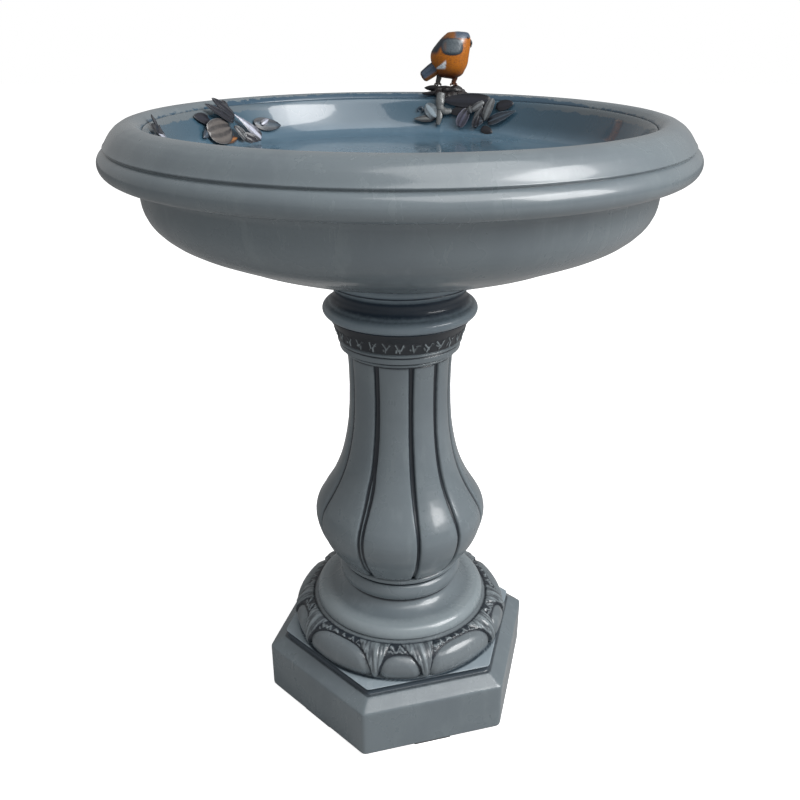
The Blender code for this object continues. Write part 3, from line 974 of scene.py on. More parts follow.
@dataclass
class FootTurnings:
    """The flared collar over the cushion, the round ring and the bead that carry the shaft."""

    collar: tuple[Point, ...] = (
        *((50.0, 109.1), (92.5, 109.1)),
        *arc((86.0, 112.0), (8.6, 10.5), -8, 86),
        *arc((85.6, 137.0), (24.0, 13.8), 262, 188),
        *((61.2, 137.0), (50.0, 137.0)),
    )
    ring: tuple[Point, ...] = (
        *((50.0, 137.3), (60.0, 137.3)),
        *arc((60.5, 147.0), (7.1, 9.7), -84, 84),
        *((60.0, 156.7), (50.0, 156.7)),
    )
    bead: tuple[Point, ...] = (
        *((50.0, 157.0), (62.5, 157.0)),
        *arc((63.2, 161.6), (3.0, 3.0), -80, 80),
        *((62.5, 165.0), (50.0, 165.0)),
    )

    def build(self, finishes: Finishes) -> None:
        """Makes the three turnings, with painted shade where each meets the next and painted highlight on the
        collar's top.
        """
        bearings = evenly(256)
        for name, outline, rows, lines in (
            ("foot_collar", self.collar, 130, ((109.4, 93.0, 1.6, 1.0), (136.6, 62.0, 2.4, 1.0))),
            ("foot_ring", self.ring, 80, ((138.0, 61.5, 2.0, 1.0), (156.0, 61.5, 1.8, 1.0))),
            ("bead_ring", self.bead, 70, ((157.2, 62.8, 1.6, 1.0), (165.0, 62.5, 1.2, 1.0))),
        ):
            profile = softened(outline, 0.3, rows)
            wash = painted_shade_lines(profile, lines)
            points = around_axis(profile, bearings, ripple(bearings, profile[:, 1], rows, 0.00015))
            radius, height = profile[:, :1], profile[:, 1:]
            # Painted highlight: the collar's upper face drawn lighter.
            highlight = 0.85 * smoothstep(0.1255, 0.1225, height) * smoothstep(0.0700, 0.0780, radius)
            piece = Casting(name, PEDESTAL, "grey_glaze")
            piece.grid(points, loop=True, wash=wash, crest=highlight)
            piece.build(finishes[Finish.STONE])


def painted_shade_lines(profile: Array, lines: Sequence[tuple[float, float, float, float]]) -> Array:
    """Painted shade in turned hollows and joints: a bell over the distance from each hollow's place on the
    profile.

    Args:
        profile: Radius and height of each row in metres.
        lines: Height, radius and reach of each hollow in millimetres, and its deepest share.

    Returns:
        Share of painted shade at each row, as a column.
    """
    total = np.zeros(len(profile))
    for height, radius, reach, share in lines:
        away = np.hypot(profile[:, 0] / MM - radius, profile[:, 1] / MM - height)
        total = np.maximum(total, share * np.exp(-((away / reach) ** 2)))
    return total[:, None]


@dataclass
class Shaft:
    """The baluster with its ten carved grooves, uneven as hand-cut ones are."""

    low: float = 165.3
    high: float = 403.2
    outline: tuple[Point, ...] = (
        (66.5, 165.3), (72.9, 173.0), (78.6, 181.0), (83.0, 188.2), (86.2, 195.0), (88.7, 202.0),
        (90.5, 209.0), (91.5, 215.0), (91.7, 221.0), (90.6, 227.2), (88.5, 233.0), (84.5, 240.2),
        (79.6, 248.0), (75.4, 254.8), (71.4, 262.0), (67.2, 271.0), (63.6, 280.0), (60.6, 289.8),
        (58.1, 300.0), (55.7, 312.5), (53.6, 327.0), (52.3, 345.0), (51.7, 365.0), (52.0, 385.0),
        (53.0, 403.2),
    )
    hollow: tuple[Point, ...] = (
        *((40.0, high), (42.0, 375.0), (48.0, 290.0), (79.0, 232.0), (79.0, 205.0), (50.0, low)),
    )
    grooves: tuple[float, ...] = (-156.5, -116.8, -77.7, -47.2, -17.0, 19.8, 56.5, 93.2, 130.0, 166.8)
    split_groove: int = 1
    groove_half: float = 2.4
    groove_depth: float = 3.0
    crown: float = 1.0
    crown_power: float = 3.2
    belly: float = 215.0

    def carve(self, bearings: Array, heights: Array, radii: Array) -> tuple[Array, Array]:
        """How far the surface lies below the turned outline, and the painted shade in the grooves.

        Across a groove the depth is a steep-sided trough of the distance from its middle. Between two
        grooves the lobe drops from its crown by a power of how near it is to either.

        Args:
            bearings: Bearing of each column.
            heights: Height of each row in millimetres.
            radii: Radius of each row in millimetres.

        Returns:
            Offset in millimetres and painted shade share, by row and column.
        """
        centres = np.radians(self.grooves)
        gaps = (bearings[:, None] - centres + math.pi) % TAU - math.pi
        ends = np.sort(centres % TAU)
        after = np.searchsorted(ends, bearings % TAU) % len(ends)
        start, stop = ends[after - 1], ends[after]
        span = (stop - start) % TAU
        share = ((bearings - start) % TAU) / span
        lobe = self.crown * (np.abs(2 * share - 1) ** self.crown_power)
        depth = np.zeros((len(heights), len(bearings)))
        painted_shade = np.zeros_like(depth)
        rng = np.random.default_rng(5)
        belly = np.exp(-(((heights - self.belly) / 50) ** 2))
        for k in range(len(self.grooves)):
            wander = rng.uniform(-0.7, 0.7) * np.sin(heights / rng.uniform(28, 44) + rng.uniform(0, 6))
            away = np.abs(gaps[:, k][None, :] * radii[:, None] + wander[:, None])
            half = self.groove_half * (1 + 0.10 * np.sin(heights / 23 + k)) - 0.55 * belly
            if k == self.split_groove:
                opened = smoothstep(292, 268, heights) * smoothstep(168, 182, heights)
                half = half + 1.5 * opened + 0.5
                ridge = np.exp(-(((gaps[:, k][None, :] * radii[:, None] + 0.4) / 1.0) ** 2)) * opened[:, None]
            else:
                ridge = 0.0
            trough = 1 / (1 + np.exp((away - half[:, None]) / 0.30))
            shoulder = np.exp(-np.clip(away - half[:, None], 0, None) / 2.2)
            depth += self.groove_depth * trough * (1 - 0.75 * ridge) + 0.45 * shoulder
            painted_shade = np.maximum(painted_shade, np.maximum(trough * (1 - 0.8 * ridge), 0.34 * shoulder))
        return -(depth + lobe[None, :]), np.clip(painted_shade, 0, 1)

    def build(self, finishes: Finishes) -> None:
        """Makes the shaft as one closed shell: the carved outside and the plain hollow inside."""
        centres = [math.radians(g) % TAU for g in self.grooves]
        bearings = crowded(centres, math.radians(4.4), 23, 160)
        outside = softened(self.outline, 1.2, 150, closed=False)
        height = outside[:, 1] / MM
        offset, painted_shade = self.carve(bearings, height, outside[:, 0] / MM)
        # Painted shade where the shaft meets the bead below and the neck above.
        ends = np.exp(-((height - self.low) / 2.5)) + np.exp(-((self.high - height) / 1.8))
        painted_shade = np.maximum(painted_shade, np.clip(ends, 0, 1)[:, None])
        offset = offset * MM + ripple(bearings, outside[:, 1], 21, 0.00025) + 0.0003
        shell = around_axis(outside, bearings, offset)
        inner = around_axis(np.array(self.hollow) * MM, bearings)
        piece = Casting("shaft", PEDESTAL, "grey_glaze")
        wash = np.vstack([painted_shade, np.zeros(inner.shape[:2])])
        piece.grid(np.vstack([shell, inner]), loop=True, wash=wash)
        piece.build(finishes[Finish.STONE])


@dataclass
class NeckAndCapital:
    """The banded neck, the frieze of small leaves and the capital that the bowl sits in."""

    leaves: int = 30
    bore: float = 36.0
    neck: tuple[Point, ...] = (
        *((bore, 403.5), (54.5, 403.5)),
        *arc((54.2, 406.0), (2.7, 1.9), -80, 80, 10),
        *((56.0, 408.4), (60.6, 409.4), (61.2, 414.3), (60.2, 415.5)),
        *arc((60.6, 417.8), (2.1, 1.6), -60, 60, 10),
        *((61.2, 420.0), (bore, 420.0)),
    )
    frieze_foot: float = 420.3
    frieze_top: float = 441.7
    frieze: tuple[Point, ...] = (
        *((63.4, frieze_foot), (64.0, 423.5), (66.4, 432.0), (70.4, 438.8), (71.8, frieze_top)),
    )
    leaf_radius: float = 66.0
    leaf_rise: float = 0.0013
    leaf_sink: float = 0.0007
    capital: tuple[Point, ...] = (
        *((bore, 442.0), (72.5, 442.0)),
        *arc((69.0, 448.9), (8.0, 6.6), -75, 75),
        *arc((72.5, 465.0), (7.2, 8.5), 235, 130),
        *((69.5, 473.5), (72.0, 475.6), (72.3, 476.4), (71.7, 477.2), (72.8, 478.2), (74.5, 480.2)),
        *((74.9, 482.2), (74.5, 484.0), (73.6, 484.8), (74.3, 485.8), (74.5, 487.6)),
        *((44.0, 487.6), (44.0, 463.0), (4.8, 463.0), (4.8, 455.0), (bore, 455.0)),
    )
    # Painted shade in the neck's hollows, and in the capital's cove and joints.
    neck_lines: tuple[Row, ...] = ((408.6, 56.0, 1.7, 1.0), (415.6, 60.2, 1.2, 1.0))
    capital_lines: tuple[Row, ...] = (
        *((463.0, 65.4, 8.5, 1.0), (468.0, 66.4, 5.5, 1.0), (456.5, 71.5, 6.0, 0.45)),
        *((477.2, 71.8, 1.1, 1.0), (484.8, 73.6, 1.2, 1.0), (442.6, 71.5, 1.6, 1.0)),
    )

    def leaf_relief(self, x: Array, y: Array, number: Array) -> Array:
        """Height share of the small carved leaves: for each leaf the highest of a few short uneven strokes.

        A stroke is a bell over the distance to a segment, whose two ends are drawn anew for each leaf:
        a stem, two blades that lean apart, and a bud or a curl at the side.

        Args:
            x: Distance from the leaf's middle in millimetres.
            y: Height over the frieze's foot in millimetres.
            number: Which leaf each column belongs to.

        Returns:
            Height from 0 to 1.
        """
        rng = np.random.default_rng(8)
        plan = (
            ((0.0, 2.2), (0.2, 6.0), 1.10, 0.9),
            ((0.0, 5.0), (-3.0, 11.0), 1.00, 1.6),
            ((0.4, 4.6), (3.2, 10.6), 1.00, 1.6),
            ((2.4, 9.4), (4.6, 9.0), 0.80, 2.2),
            ((-3.0, 4.0), (-2.4, 6.4), 1.30, 2.2),
        )
        total = np.zeros(np.broadcast_shapes(x.shape, y.shape))
        for start, end, width, stray in plan:
            shift = rng.uniform(-stray, stray, (4, self.leaves))[:, number]
            strength = rng.uniform(0.45, 1.0, self.leaves)[number]
            ax, ay = start[0] + shift[0], start[1] + 0.6 * shift[1]
            bx, by = end[0] + shift[2], end[1] + 0.6 * shift[3]
            reach = (bx - ax) ** 2 + (by - ay) ** 2
            along = np.clip(((x - ax) * (bx - ax) + (y - ay) * (by - ay)) / reach, 0, 1)
            away = np.hypot(x - ax - along * (bx - ax), y - ay - along * (by - ay))
            total = np.maximum(total, strength * np.exp(-((away / width) ** 2)))
        return total

    def build(self, finishes: Finishes) -> None:
        """Makes the neck, the frieze and the capital."""
        bearings = evenly(256)
        for name, outline, slot, finish, lines in (
            ("neck_ring", self.neck, "grey_glaze", Finish.STONE, self.neck_lines),
            ("capital", self.capital, "dark_glaze", Finish.CAPITAL, self.capital_lines),
        ):
            profile = softened(outline, 0.25, 150)
            wash = painted_shade_lines(profile, lines)
            points = around_axis(profile, bearings, ripple(bearings, profile[:, 1], 31, 0.00012))
            piece = Casting(name, PEDESTAL, slot)
            piece.grid(points, loop=True, wash=wash)
            piece.build(finishes[finish])
        self.build_frieze(finishes)

    def build_frieze(self, finishes: Finishes) -> None:
        """Makes the frieze: a flaring band with its leaves raised on it."""
        bearings = evenly(self.leaves * 30)
        outside = softened(self.frieze, 0.6, 64, crowd=0.0, closed=False)
        pitch = TAU / self.leaves
        number = np.floor(bearings / pitch).astype(int)
        local = ((bearings % pitch) - pitch / 2) * self.leaf_radius
        y = (outside[:, 1] / MM - self.frieze_foot)[:, None]
        relief = self.leaf_relief(local[None, :], y, number)
        offset = relief * self.leaf_rise - self.leaf_sink
        shell = around_axis(outside, bearings, offset)
        hollow = ((self.bore, self.frieze_top), (self.bore, self.frieze_foot))
        inner = around_axis(np.array(hollow) * MM, bearings)
        piece = Casting("frieze", PEDESTAL, "dark_glaze")
        # The raised leaves are drawn lighter than the near-black band: painted highlight on the relief.
        crest = np.vstack([relief, np.zeros(inner.shape[:2])])
        piece.grid(np.vstack([shell, inner]), loop=True, crest=crest, wash=0.0)
        piece.build(finishes[Finish.FRIEZE])


# ---------------------------------------------------------------- bowl


@dataclass
class Bowl:
    """The wide bowl with its two-stepped rolled rim, and the glazed basin inside it."""

    foot: float = 42.6
    under: tuple[Point, ...] = (
        (76.0, 490.2), (114.0, 498.4), (134.0, 503.2), (152.0, 508.4), (168.2, 514.2),
        (182.4, 520.4), (195.6, 525.9), (206.7, 530.8), (214.9, 535.4), (221.5, 540.6),
        (226.6, 546.0), (230.3, 551.2), (232.7, 556.3), (234.0, 561.4), (234.6, 566.7),
        (234.8, 572.0), (235.4, 579.0), (238.2, 583.8), (248.0, 585.8),
    )
    shoulder: tuple[Point, ...] = (
        (258.8, 609.8), (260.2, 611.2), (258.7, 612.7), (256.7, 616.0), (253.6, 620.5),
        (249.2, 624.9), (243.8, 628.2), (239.0, 629.6), (234.5, 629.9), (230.0, 628.2),
    )
    inner: tuple[Point, ...] = (
        (225.7, 624.5), (225.7, 580.5), (213.7, 580.5), (213.7, 573.5), (226.0, 563.0),
        (222.0, 554.5), (214.0, 545.5), (202.0, 538.2), (179.0, 528.0), (150.0, 516.4),
        (113.0, 506.4), (76.0, 498.2), (42.6, 498.2),
    )
    # Painted shade under the lower roll, in the crease between the rolls and where the bowl sits on the
    # capital.
    lines: tuple[Row, ...] = ((584.8, 240.5, 2.6, 0.8), (611.2, 260.2, 1.3, 0.20), (490.4, 76.0, 5.0, 1.0))
    basin_floor: float = 585.7
    basin_seat: float = 580.8
    basin_under: float = 580.7
    wall: tuple[Point, ...] = (
        (202.0, 589.0), (207.6, 592.4), (211.6, 597.6), (215.0, 604.0), (218.4, 611.0),
        (221.4, 617.4), (223.4, 621.8), (225.4, 623.8),
    )

    def outline(self) -> list[Point]:
        """The bowl's whole section."""
        roll = arc((254.8, 598.5), (11.3, 11.0), -80, 75)
        return [(self.foot, 490.2), *self.under, *roll, *self.shoulder, *self.inner]

    def build(self, finishes: Finishes) -> None:
        """Makes the bowl and the basin."""
        bearings = evenly(320)
        profile = softened(self.outline(), 0.55, 260, crowd=9.0)
        wash = painted_shade_lines(profile, self.lines)
        shown = smoothstep(0.227, 0.232, profile[:, :1])
        sway = ripple(bearings, profile[:, 1], 41, 0.0004) * shown
        points = around_axis(profile, bearings, sway - 0.0003 * shown)
        piece = Casting("bowl", BOWL, "grey_glaze")
        piece.grid(points, loop=True, wash=wash)
        piece.build(finishes[Finish.RIM])
        self.build_basin(finishes)

    def build_basin(self, finishes: Finishes) -> None:
        """Makes the basin: its shallow floor, the curve up to its wall and the step it rests on."""
        flat, seat, under = self.basin_floor, self.basin_seat, self.basin_under
        top = [(0.0, flat), (150.0, flat), (192.0, flat + 0.4), *self.wall]
        rest = [(225.4, seat), (213.4, seat), (213.4, under), (0.0, under)]
        profile = softened(top + rest, 0.5, 150, crowd=4.0, closed=False)
        profile[0, 0] = profile[-1, 0] = 0.0
        bearings = evenly(256)
        points = around_axis(profile, bearings)
        inside = (profile[:, 1] > 584 * MM) & (profile[:, 0] < 221.5 * MM)
        dip = 0.0002 * np.cos(profile[:, 0] * 40)[:, None] * inside[:, None]
        points[:, :, 2] += dip + ripple(bearings, profile[:, 0], 51, 0.0001) * inside[:, None]
        piece = Casting("basin", BOWL, "basin_glaze")
        piece.grid(points, wash=self.flecks(points))
        piece.build(finishes[Finish.BASIN])

    def flecks(self, points: Array) -> Array:
        """A few dark flecks on the right of the floor: small bells about their places."""
        total = np.zeros(points.shape[:2])
        for x, y, size in ((0.152, 0.060, 3.2), (0.160, 0.048, 2.4), (0.118, 0.098, 1.8)):
            away = np.hypot(points[:, :, 0] - x, points[:, :, 1] - y)
            total = np.maximum(total, np.exp(-((away / (size * MM)) ** 2)))
        return total * 0.9


# ---------------------------------------------------------------- blades, branch, bird


@dataclass
class Blade:
    """A leaf or a petal: a thin closed form along a curved spine, cupped, ribbed and pointed or round."""

    length: float
    width: float
    thick: float = 1.6
    lift: float = 0.0
    curl: float = 0.0
    cup: float = 0.0
    ribs: float = 0.0
    rib_depth: float = 0.0
    point: float = 1.0
    root: float = 0.5

    def grid(self) -> tuple[Array, Array, Array]:
        """The blade as a grid in millimetres, lying along +X with +Z up.

        The spine is the running sum of the cosine and sine of an angle that goes evenly from the lift
        by the curl. Half the width is the sine bump of the share along it, skewed by the root and point
        powers. Across it the section is an ellipse, raised by the cup times the square of the
        place across and by a cosine for each rib.

        Returns:
            Points, share along and place across from -1 to 1.
        """
        u = np.linspace(0, 1, BLADE_ROWS)
        angle = np.radians(self.lift + self.curl * u)
        step = self.length / (BLADE_ROWS - 1)
        x = np.concatenate([[0], np.cumsum(np.cos(angle[1:]) * step)])
        z = np.concatenate([[0], np.cumsum(np.sin(angle[1:]) * step)])
        bump = (np.clip(u, 1e-9, 1) ** self.root) * (np.clip(1 - u, 0, 1) ** (1 / self.point))
        bump /= bump.max()
        half = self.width / 2 * bump
        v = evenly(BLADE_COLUMNS)
        across, up = np.cos(v), np.sin(v)
        thick = self.thick / 2 * np.minimum(1, bump * 1.8) * (1 - 0.35 * u)
        rise = thick[:, None] * up[None, :] * (1 - 0.45 * across[None, :] ** 2)
        rise = rise + self.cup * half[:, None] * across[None, :] ** 2
        if self.ribs:
            ridge = np.cos(across * math.pi * self.ribs)[None, :] * self.rib_depth * bump[:, None]
            rise = rise + ridge * (up[None, :] > -0.2)
        px = x[:, None] - rise * np.sin(angle)[:, None]
        py = half[:, None] * across[None, :]
        pz = z[:, None] + rise * np.cos(angle)[:, None]
        points = np.stack([px, py, pz], axis=2)
        return points, np.broadcast_to(u[:, None], px.shape), np.broadcast_to(across, px.shape)


def moved(points: Array, matrix: Matrix) -> Array:
    """Points in millimetres carried by a matrix in metres."""
    m = np.array(matrix)
    return (points * MM) @ m[:3, :3].T + m[:3, 3]


def tube(path: Array, radii: Array, columns: int = 16, flat: float = 1.0) -> Array:
    """A round-ended limb: rings square to a path, each an ellipse of that row's radius.

    Args:
        path: rows by 3 places.
        radii: Radius of each row.
        columns: Points in each ring.
        flat: Height of a ring as a share of its width.

    Returns:
        Grid of points.
    """
    along = np.gradient(path, axis=0)
    along /= np.linalg.norm(along, axis=1)[:, None]
    guide = np.array([0.0, 0.0, 1.0]) if abs(along[:, 2]).mean() < 0.8 else np.array([0.0, 1.0, 0.0])
    side = np.cross(along, guide)
    side /= np.linalg.norm(side, axis=1)[:, None]
    up = np.cross(side, along)
    v = evenly(columns)
    ring = side[:, None, :] * np.cos(v)[None, :, None] + up[:, None, :] * (np.sin(v) * flat)[None, :, None]
    return path[:, None, :] + ring * radii[:, None, None]


def swelling(width: float, rows: int, at: Sequence[float], shares: Sequence[float]) -> Array:
    """Radii along a limb: its width times the shares read between these places along it."""
    return width * np.interp(np.linspace(0, 1, rows), at, shares)


def spline(points: Sequence[Sequence[float]], rows: int) -> Array:
    """A smooth path through the points: cubic Hermite pieces with each slope taken from the neighbours."""
    knots = np.array(points, float)
    t = np.arange(len(knots))
    slope = np.gradient(knots, axis=0)
    at = np.linspace(0, len(knots) - 1, rows)
    k = np.minimum(at.astype(int), len(knots) - 2)
    f = (at - t[k])[:, None]
    h00, h10 = 2 * f**3 - 3 * f**2 + 1, f**3 - 2 * f**2 + f
    h01, h11 = -2 * f**3 + 3 * f**2, f**3 - f**2
    return h00 * knots[k] + h10 * slope[k] + h01 * knots[k + 1] + h11 * slope[k + 1]


@dataclass
class Branch:
    """The dark branch along the rim, with its leaves and its side shoot down the inside."""

    bearing: float = math.radians(76.2)
    crest_radius: float = 237.1
    rim_top: float = 629.8

    def crest(self) -> Vector:
        """The place on top of the rim under the bird."""
        r = self.crest_radius * MM
        return Vector((r * math.cos(self.bearing), r * math.sin(self.bearing), self.rim_top * MM))

    def build(self, finishes: Finishes) -> None:
        """Makes the perch: a knotty stem under the bird, a broad folded leaf and pointed side leaves."""
        dark: Colour = (0.013, 0.011, 0.012)
        base = Matrix.Translation(self.crest() - Vector((0, 0, 1.2 * MM)))
        piece = Casting("perch", BOWL, "branch_paint")
        limbs = (
            ([(-20, 1.0, 5.0), (-12, 0.6, 4.6), (-3, 0.2, 4.0), (6, -0.6, 3.8), (14, -1.6, 3.4)], 4.2, 0.95),
            ([(-12, 0.0, 6.0), (-12.5, -4.0, 3.6), (-12.0, -9.0, -0.6), (-11.5, -13.0, -7.0)], 5.0, 0.8),
            ([(-10, -3, 2.6), (-4, -4.5, 3.6), (3, -5.4, 3.8), (11, -5.8, 3.2), (19, -6.4, 0.6)], 6.4, 0.72),
            ([(2, -1.0, 4.0), (6, -2.0, 6.4), (11, -2.6, 5.6), (16, -3.4, 2.0)], 3.4, 0.8),
        )
        for number, (knots, width, flat) in enumerate(limbs):
            path = spline(knots, 48)
            t = np.linspace(0, 1, 48)
            radii = swelling(width, 48, [0, 0.05, 0.3, 0.65, 0.92, 1], [0.03, 0.55, 0.95, 1.0, 0.6, 0.03])
            radii = radii * (1 + 0.09 * np.sin(t * 17 + number * 2.1))
            body = tube(path, radii, 24, flat)
            grain = np.cos(evenly(24) * 5) * np.sin(t * 9 + number)[:, None]
            crest = smoothstep(0.55, 0.95, grain) * 0.10
            piece.grid(moved(body, base), paint=dark, wash=0.0, crest=crest)
        leaves = (
            ((-11, -2.5, 5.6), 178, 62, Blade(18, 8, 5.0, -2, 8, 0.10, 1, 0.35, 1.4, 0.4)),
            ((-10, -6.0, 1.0), 184, 50, Blade(22, 7, 5.0, -6, 6, 0.12, 1, 0.35, 1.2, 0.4)),
            ((-6, -7.0, 1.6), 250, 0, Blade(12, 13, 4.6, -24, -26, 0.12, 2, 0.35, 1.8, 0.6)),
            ((4, -8.0, 2.6), -86, 0, Blade(12, 15, 4.6, -24, -30, 0.12, 2, 0.3, 2.0, 0.6)),
            ((13, -8.0, 2.6), -70, 0, Blade(9, 12, 4.0, -20, -30, 0.12, 2, 0.3, 2.0, 0.6)),
        )
        for place, turned, rolled, blade in leaves:
            points, along, across = blade.grid()
            where = base @ Matrix.Translation(Vector(place) * MM)
            where = where @ Matrix.Rotation(math.radians(turned), 4, "Z")
            where = where @ Matrix.Rotation(math.radians(rolled), 4, "X")
            vein = np.exp(-(((along - 0.55) / 0.16) ** 2)) * np.exp(-((across / 0.2) ** 2)) * 0.3
            piece.grid(moved(points, where), paint=dark, wash=0.0, crest=vein)
        piece.build(finishes[Finish.BARK])


@dataclass
class Songbird:
    """A small orange and blue-grey bird, with its wings, tail, beak, eyes and legs."""

    orange: Colour = (0.430, 0.125, 0.001)
    crown: Colour = (0.210, 0.072, 0.010)
    rust: Colour = (0.070, 0.013, 0.001)
    slate: Colour = (0.058, 0.084, 0.125)
    wing: Colour = (0.070, 0.090, 0.105)
    dark: Colour = (0.016, 0.022, 0.032)
    pale: Colour = (0.90, 0.92, 0.94)
    tail_brown: Colour = (0.26, 0.105, 0.035)
    eye_black: Colour = (0.003, 0.003, 0.004)
    eye: Place = (19.0, 7.4, 49.2)
    eye_radius: float = 1.3
    wing_middle: Point = (1.5, 40.5)
    wing_half: Point = (12.5, 9.0)
    slices: tuple[Row, ...] = (
        (6.0, 2.0, 4.0, 1.0), (7.9, -10.0, 10.0, 6.5), (11.0, -14.7, 14.7, 10.5),
        (15.2, -16.0, 17.0, 13.5), (19.4, -18.5, 19.2, 15.5), (23.6, -21.0, 20.4, 16.6),
        (30.0, -22.0, 21.2, 17.4), (36.0, -20.6, 22.0, 17.0), (42.5, -15.8, 22.6, 15.0),
        (49.0, -10.0, 22.4, 12.8), (53.0, -5.4, 21.0, 9.8), (55.0, -2.0, 18.0, 6.0),
        (55.9, 7.0, 9.0, 0.3),
    )

    def build(self, finishes: Finishes, feet: Vector) -> None:
        """Makes the bird on this place: level slices give each row its middle and its half width and depth.

        The folded wing stands out of each flank: the row's ellipse is pushed outwards inside the wing's
        rounded outline, and feather barbs run across it as a fine cosine.
        """
        base = Matrix.Translation(feet)
        piece = Casting("songbird", BOWL, "bird_paint")
        rows = spline(self.slices, 96)
        z, left, right, deep = rows.T
        v = evenly(96)
        middle, half = (left + right) / 2, (right - left) / 2
        x = middle[:, None] + half[:, None] * np.cos(v)
        y = deep[:, None] * np.sin(v)
        level = np.broadcast_to(z[:, None], x.shape)
        patch = self.patch(x, level) * smoothstep(0.25, 0.45, np.abs(np.sin(v)))
        barbs = 1 + 0.10 * np.cos((x * 0.8 + level * 0.6) * 1.9)
        swell = 1 + 0.085 * smoothstep(0.0, 0.35, patch) * barbs
        body = np.stack([x, y * swell, level], axis=2)
        piece.grid(moved(body, base), paint=self.plumage(body, left, patch), wash=0.0, crest=0.0)
        self.tail(piece, base)
        self.face(piece, base)
        piece.build(finishes[Finish.FEATHERS])
        self.legs(finishes, base)

    def patch(self, x: Array, z: Array) -> Array:
        """How far inside the folded wing's outline a point is: one at its middle and none outside it."""
        (middle_x, middle_z), (half_x, half_z) = self.wing_middle, self.wing_half
        round_box = (np.abs((x - middle_x) / half_x) ** 3 + np.abs((z - middle_z) / half_z) ** 3) ** (1 / 3)
        return np.clip(1 - round_box, 0, 1)

    def plumage(self, points: Array, left: Array, patch: Array) -> Array:
        """Orange over the body, rust below, a brown crown, a slate back and cap, and the dark-edged wing."""
        x, z = points[:, :, 0], points[:, :, 2]
        colour = np.broadcast_to(np.array(self.orange), points.shape).copy()
        nearby = x - left[:, None]
        back = smoothstep(30.0, 36.0, z) * smoothstep(52.0, 47.0, z)
        for share, paint in (
            (smoothstep(19.0, 8.0, z + 0.10 * x), self.rust),
            (smoothstep(45.5, 50.5, z) * smoothstep(9.0, 4.0, x), self.crown),
            (smoothstep(10.0, 5.0, nearby) * back, self.dark),
            (smoothstep(47.6, 49.4, z - 0.10 * np.abs(x - 13)) * smoothstep(3.0, 7.0, x), self.slate),
            (smoothstep(0.0, 0.05, patch), self.dark),
            (smoothstep(0.07, 0.20, patch), self.wing),
            (smoothstep(0.15, 0.45, patch) * smoothstep(-4.0, -9.0, x), self.crown),
        ):
            colour += (np.array(paint) - colour) * share[:, :, None]
        fleck = np.exp(-(((x - 13.0) / 1.8) ** 2 + ((z - 46.8) / 2.0) ** 2)) * 0.7
        # A painted glint: a pale streak across the wing where the light catches it.
        wide = 0.9 + 0.34 * np.clip(x + 15.0, 0, 9)
        glint = np.exp(-(((z - 20.0 - 0.42 * (x + 10.0)) / wide) ** 4))
        glint = glint * smoothstep(-15.6, -14.6, x) * smoothstep(-5, -6, x)
        shown = np.maximum(fleck, np.clip(glint * 1.3, 0, 1))[:, :, None]
        return colour + (np.array(self.pale) - colour) * shown

    def tail(self, piece: Casting, base: Matrix) -> None:
        """Adds the blunt tail: a flattened limb down to the left, with three long feathers ridged on it."""
        rows, columns = 44, 40
        path = spline([(-7, 0, 24.5), (-14, 0, 19.5), (-22, 0, 13.8), (-28, 0, 9.6), (-31.5, 0, 7.2)], rows)
        t = np.linspace(0, 1, rows)
        radii = np.interp(t, [0, 0.08, 0.45, 0.85, 0.97, 1], [0.1, 5.4, 5.0, 4.2, 2.8, 0.1])
        v = evenly(columns)
        ridge = 1 + 0.07 * np.cos(v * 7)[None, :] * smoothstep(0.2, 0.5, t)[:, None]
        limb = tube(path, radii, columns, 1.42)
        limb = path[:, None, :] + (limb - path[:, None, :]) * ridge[:, :, None]
        upper = smoothstep(-0.55, -0.25, np.sin(v))[None, :] * smoothstep(0.99, 0.86, t)[:, None]
        edge = smoothstep(0.80, 0.96, np.sin(v))[None, :]
        colour = np.array(self.tail_brown) * np.ones((rows, columns, 3))
        colour += (np.array(self.slate) - colour) * upper[:, :, None]
        colour += (np.array(self.dark) - colour) * (edge * upper)[:, :, None]
        piece.grid(moved(limb, base), paint=colour)

    def face(self, piece: Casting, base: Matrix) -> None:
        """Adds the short beak, turned down, and two eyes."""
        path = spline([(18.5, 0, 47.0), (22.0, 0, 45.2), (23.4, 0, 42.0), (23.0, 0, 38.6)], 20)
        radii = swelling(1.0, 20, [0, 0.1, 0.5, 1], [0.1, 2.8, 2.0, 0.1])
        piece.grid(moved(tube(path, radii, 16), base), paint=self.dark)
        a, b = np.meshgrid(evenly(16), np.linspace(-math.pi / 2, math.pi / 2, 10))
        ball = np.stack([np.cos(a) * np.cos(b), np.sin(a) * np.cos(b), np.sin(b)], axis=2) * self.eye_radius
        for sign in (-1, 1):
            piece.grid(moved(ball + np.array(self.eye) * (1, sign, 1), base), paint=self.eye_black)

    def legs(self, finishes: Finishes, base: Matrix) -> None:
        """Makes each stout leg with three toes forward and one back."""
        legs = (
            ("left", -11.5, -13.4, 3.0, (0.050, 0.045, 0.042)),
            ("right", 7.0, 4.6, 2.9, (0.085, 0.026, 0.008)),
        )
        for side, high, low, width, colour in legs:
            piece = Casting(f"bird_leg_{side}", BOWL, "branch_paint")
            path = spline([(high, 0, 13), (high - 0.4, 0, 8), (low + 0.3, 0, 3), (low, 0, -0.8)], 24)
            radii = swelling(width, 24, [0, 0.1, 0.4, 0.85, 1], [0.1, 1.1, 1.0, 0.82, 0.1])
            piece.grid(moved(tube(path, radii, 18), base), paint=colour, wash=0.0, crest=0.0)
            for turned in (-38, 0, 38, 180):
                reach = 6.5 if turned != 180 else 5.0
                toe = spline([(0, 0, 0.8), (reach * 0.6, 0, 1.0), (reach, 0, -1.0)], 14)
                radii = swelling(1.0, 14, [0, 0.15, 0.8, 1], [0.1, 1.5, 1.1, 0.1])
                where = base @ Matrix.Translation(Vector((low, 0, 0)) * MM)
                where = where @ Matrix.Rotation(math.radians(turned - 90), 4, "Z")
                piece.grid(moved(tube(toe, radii, 10), where), paint=colour)
            piece.build(finishes[Finish.BARK])


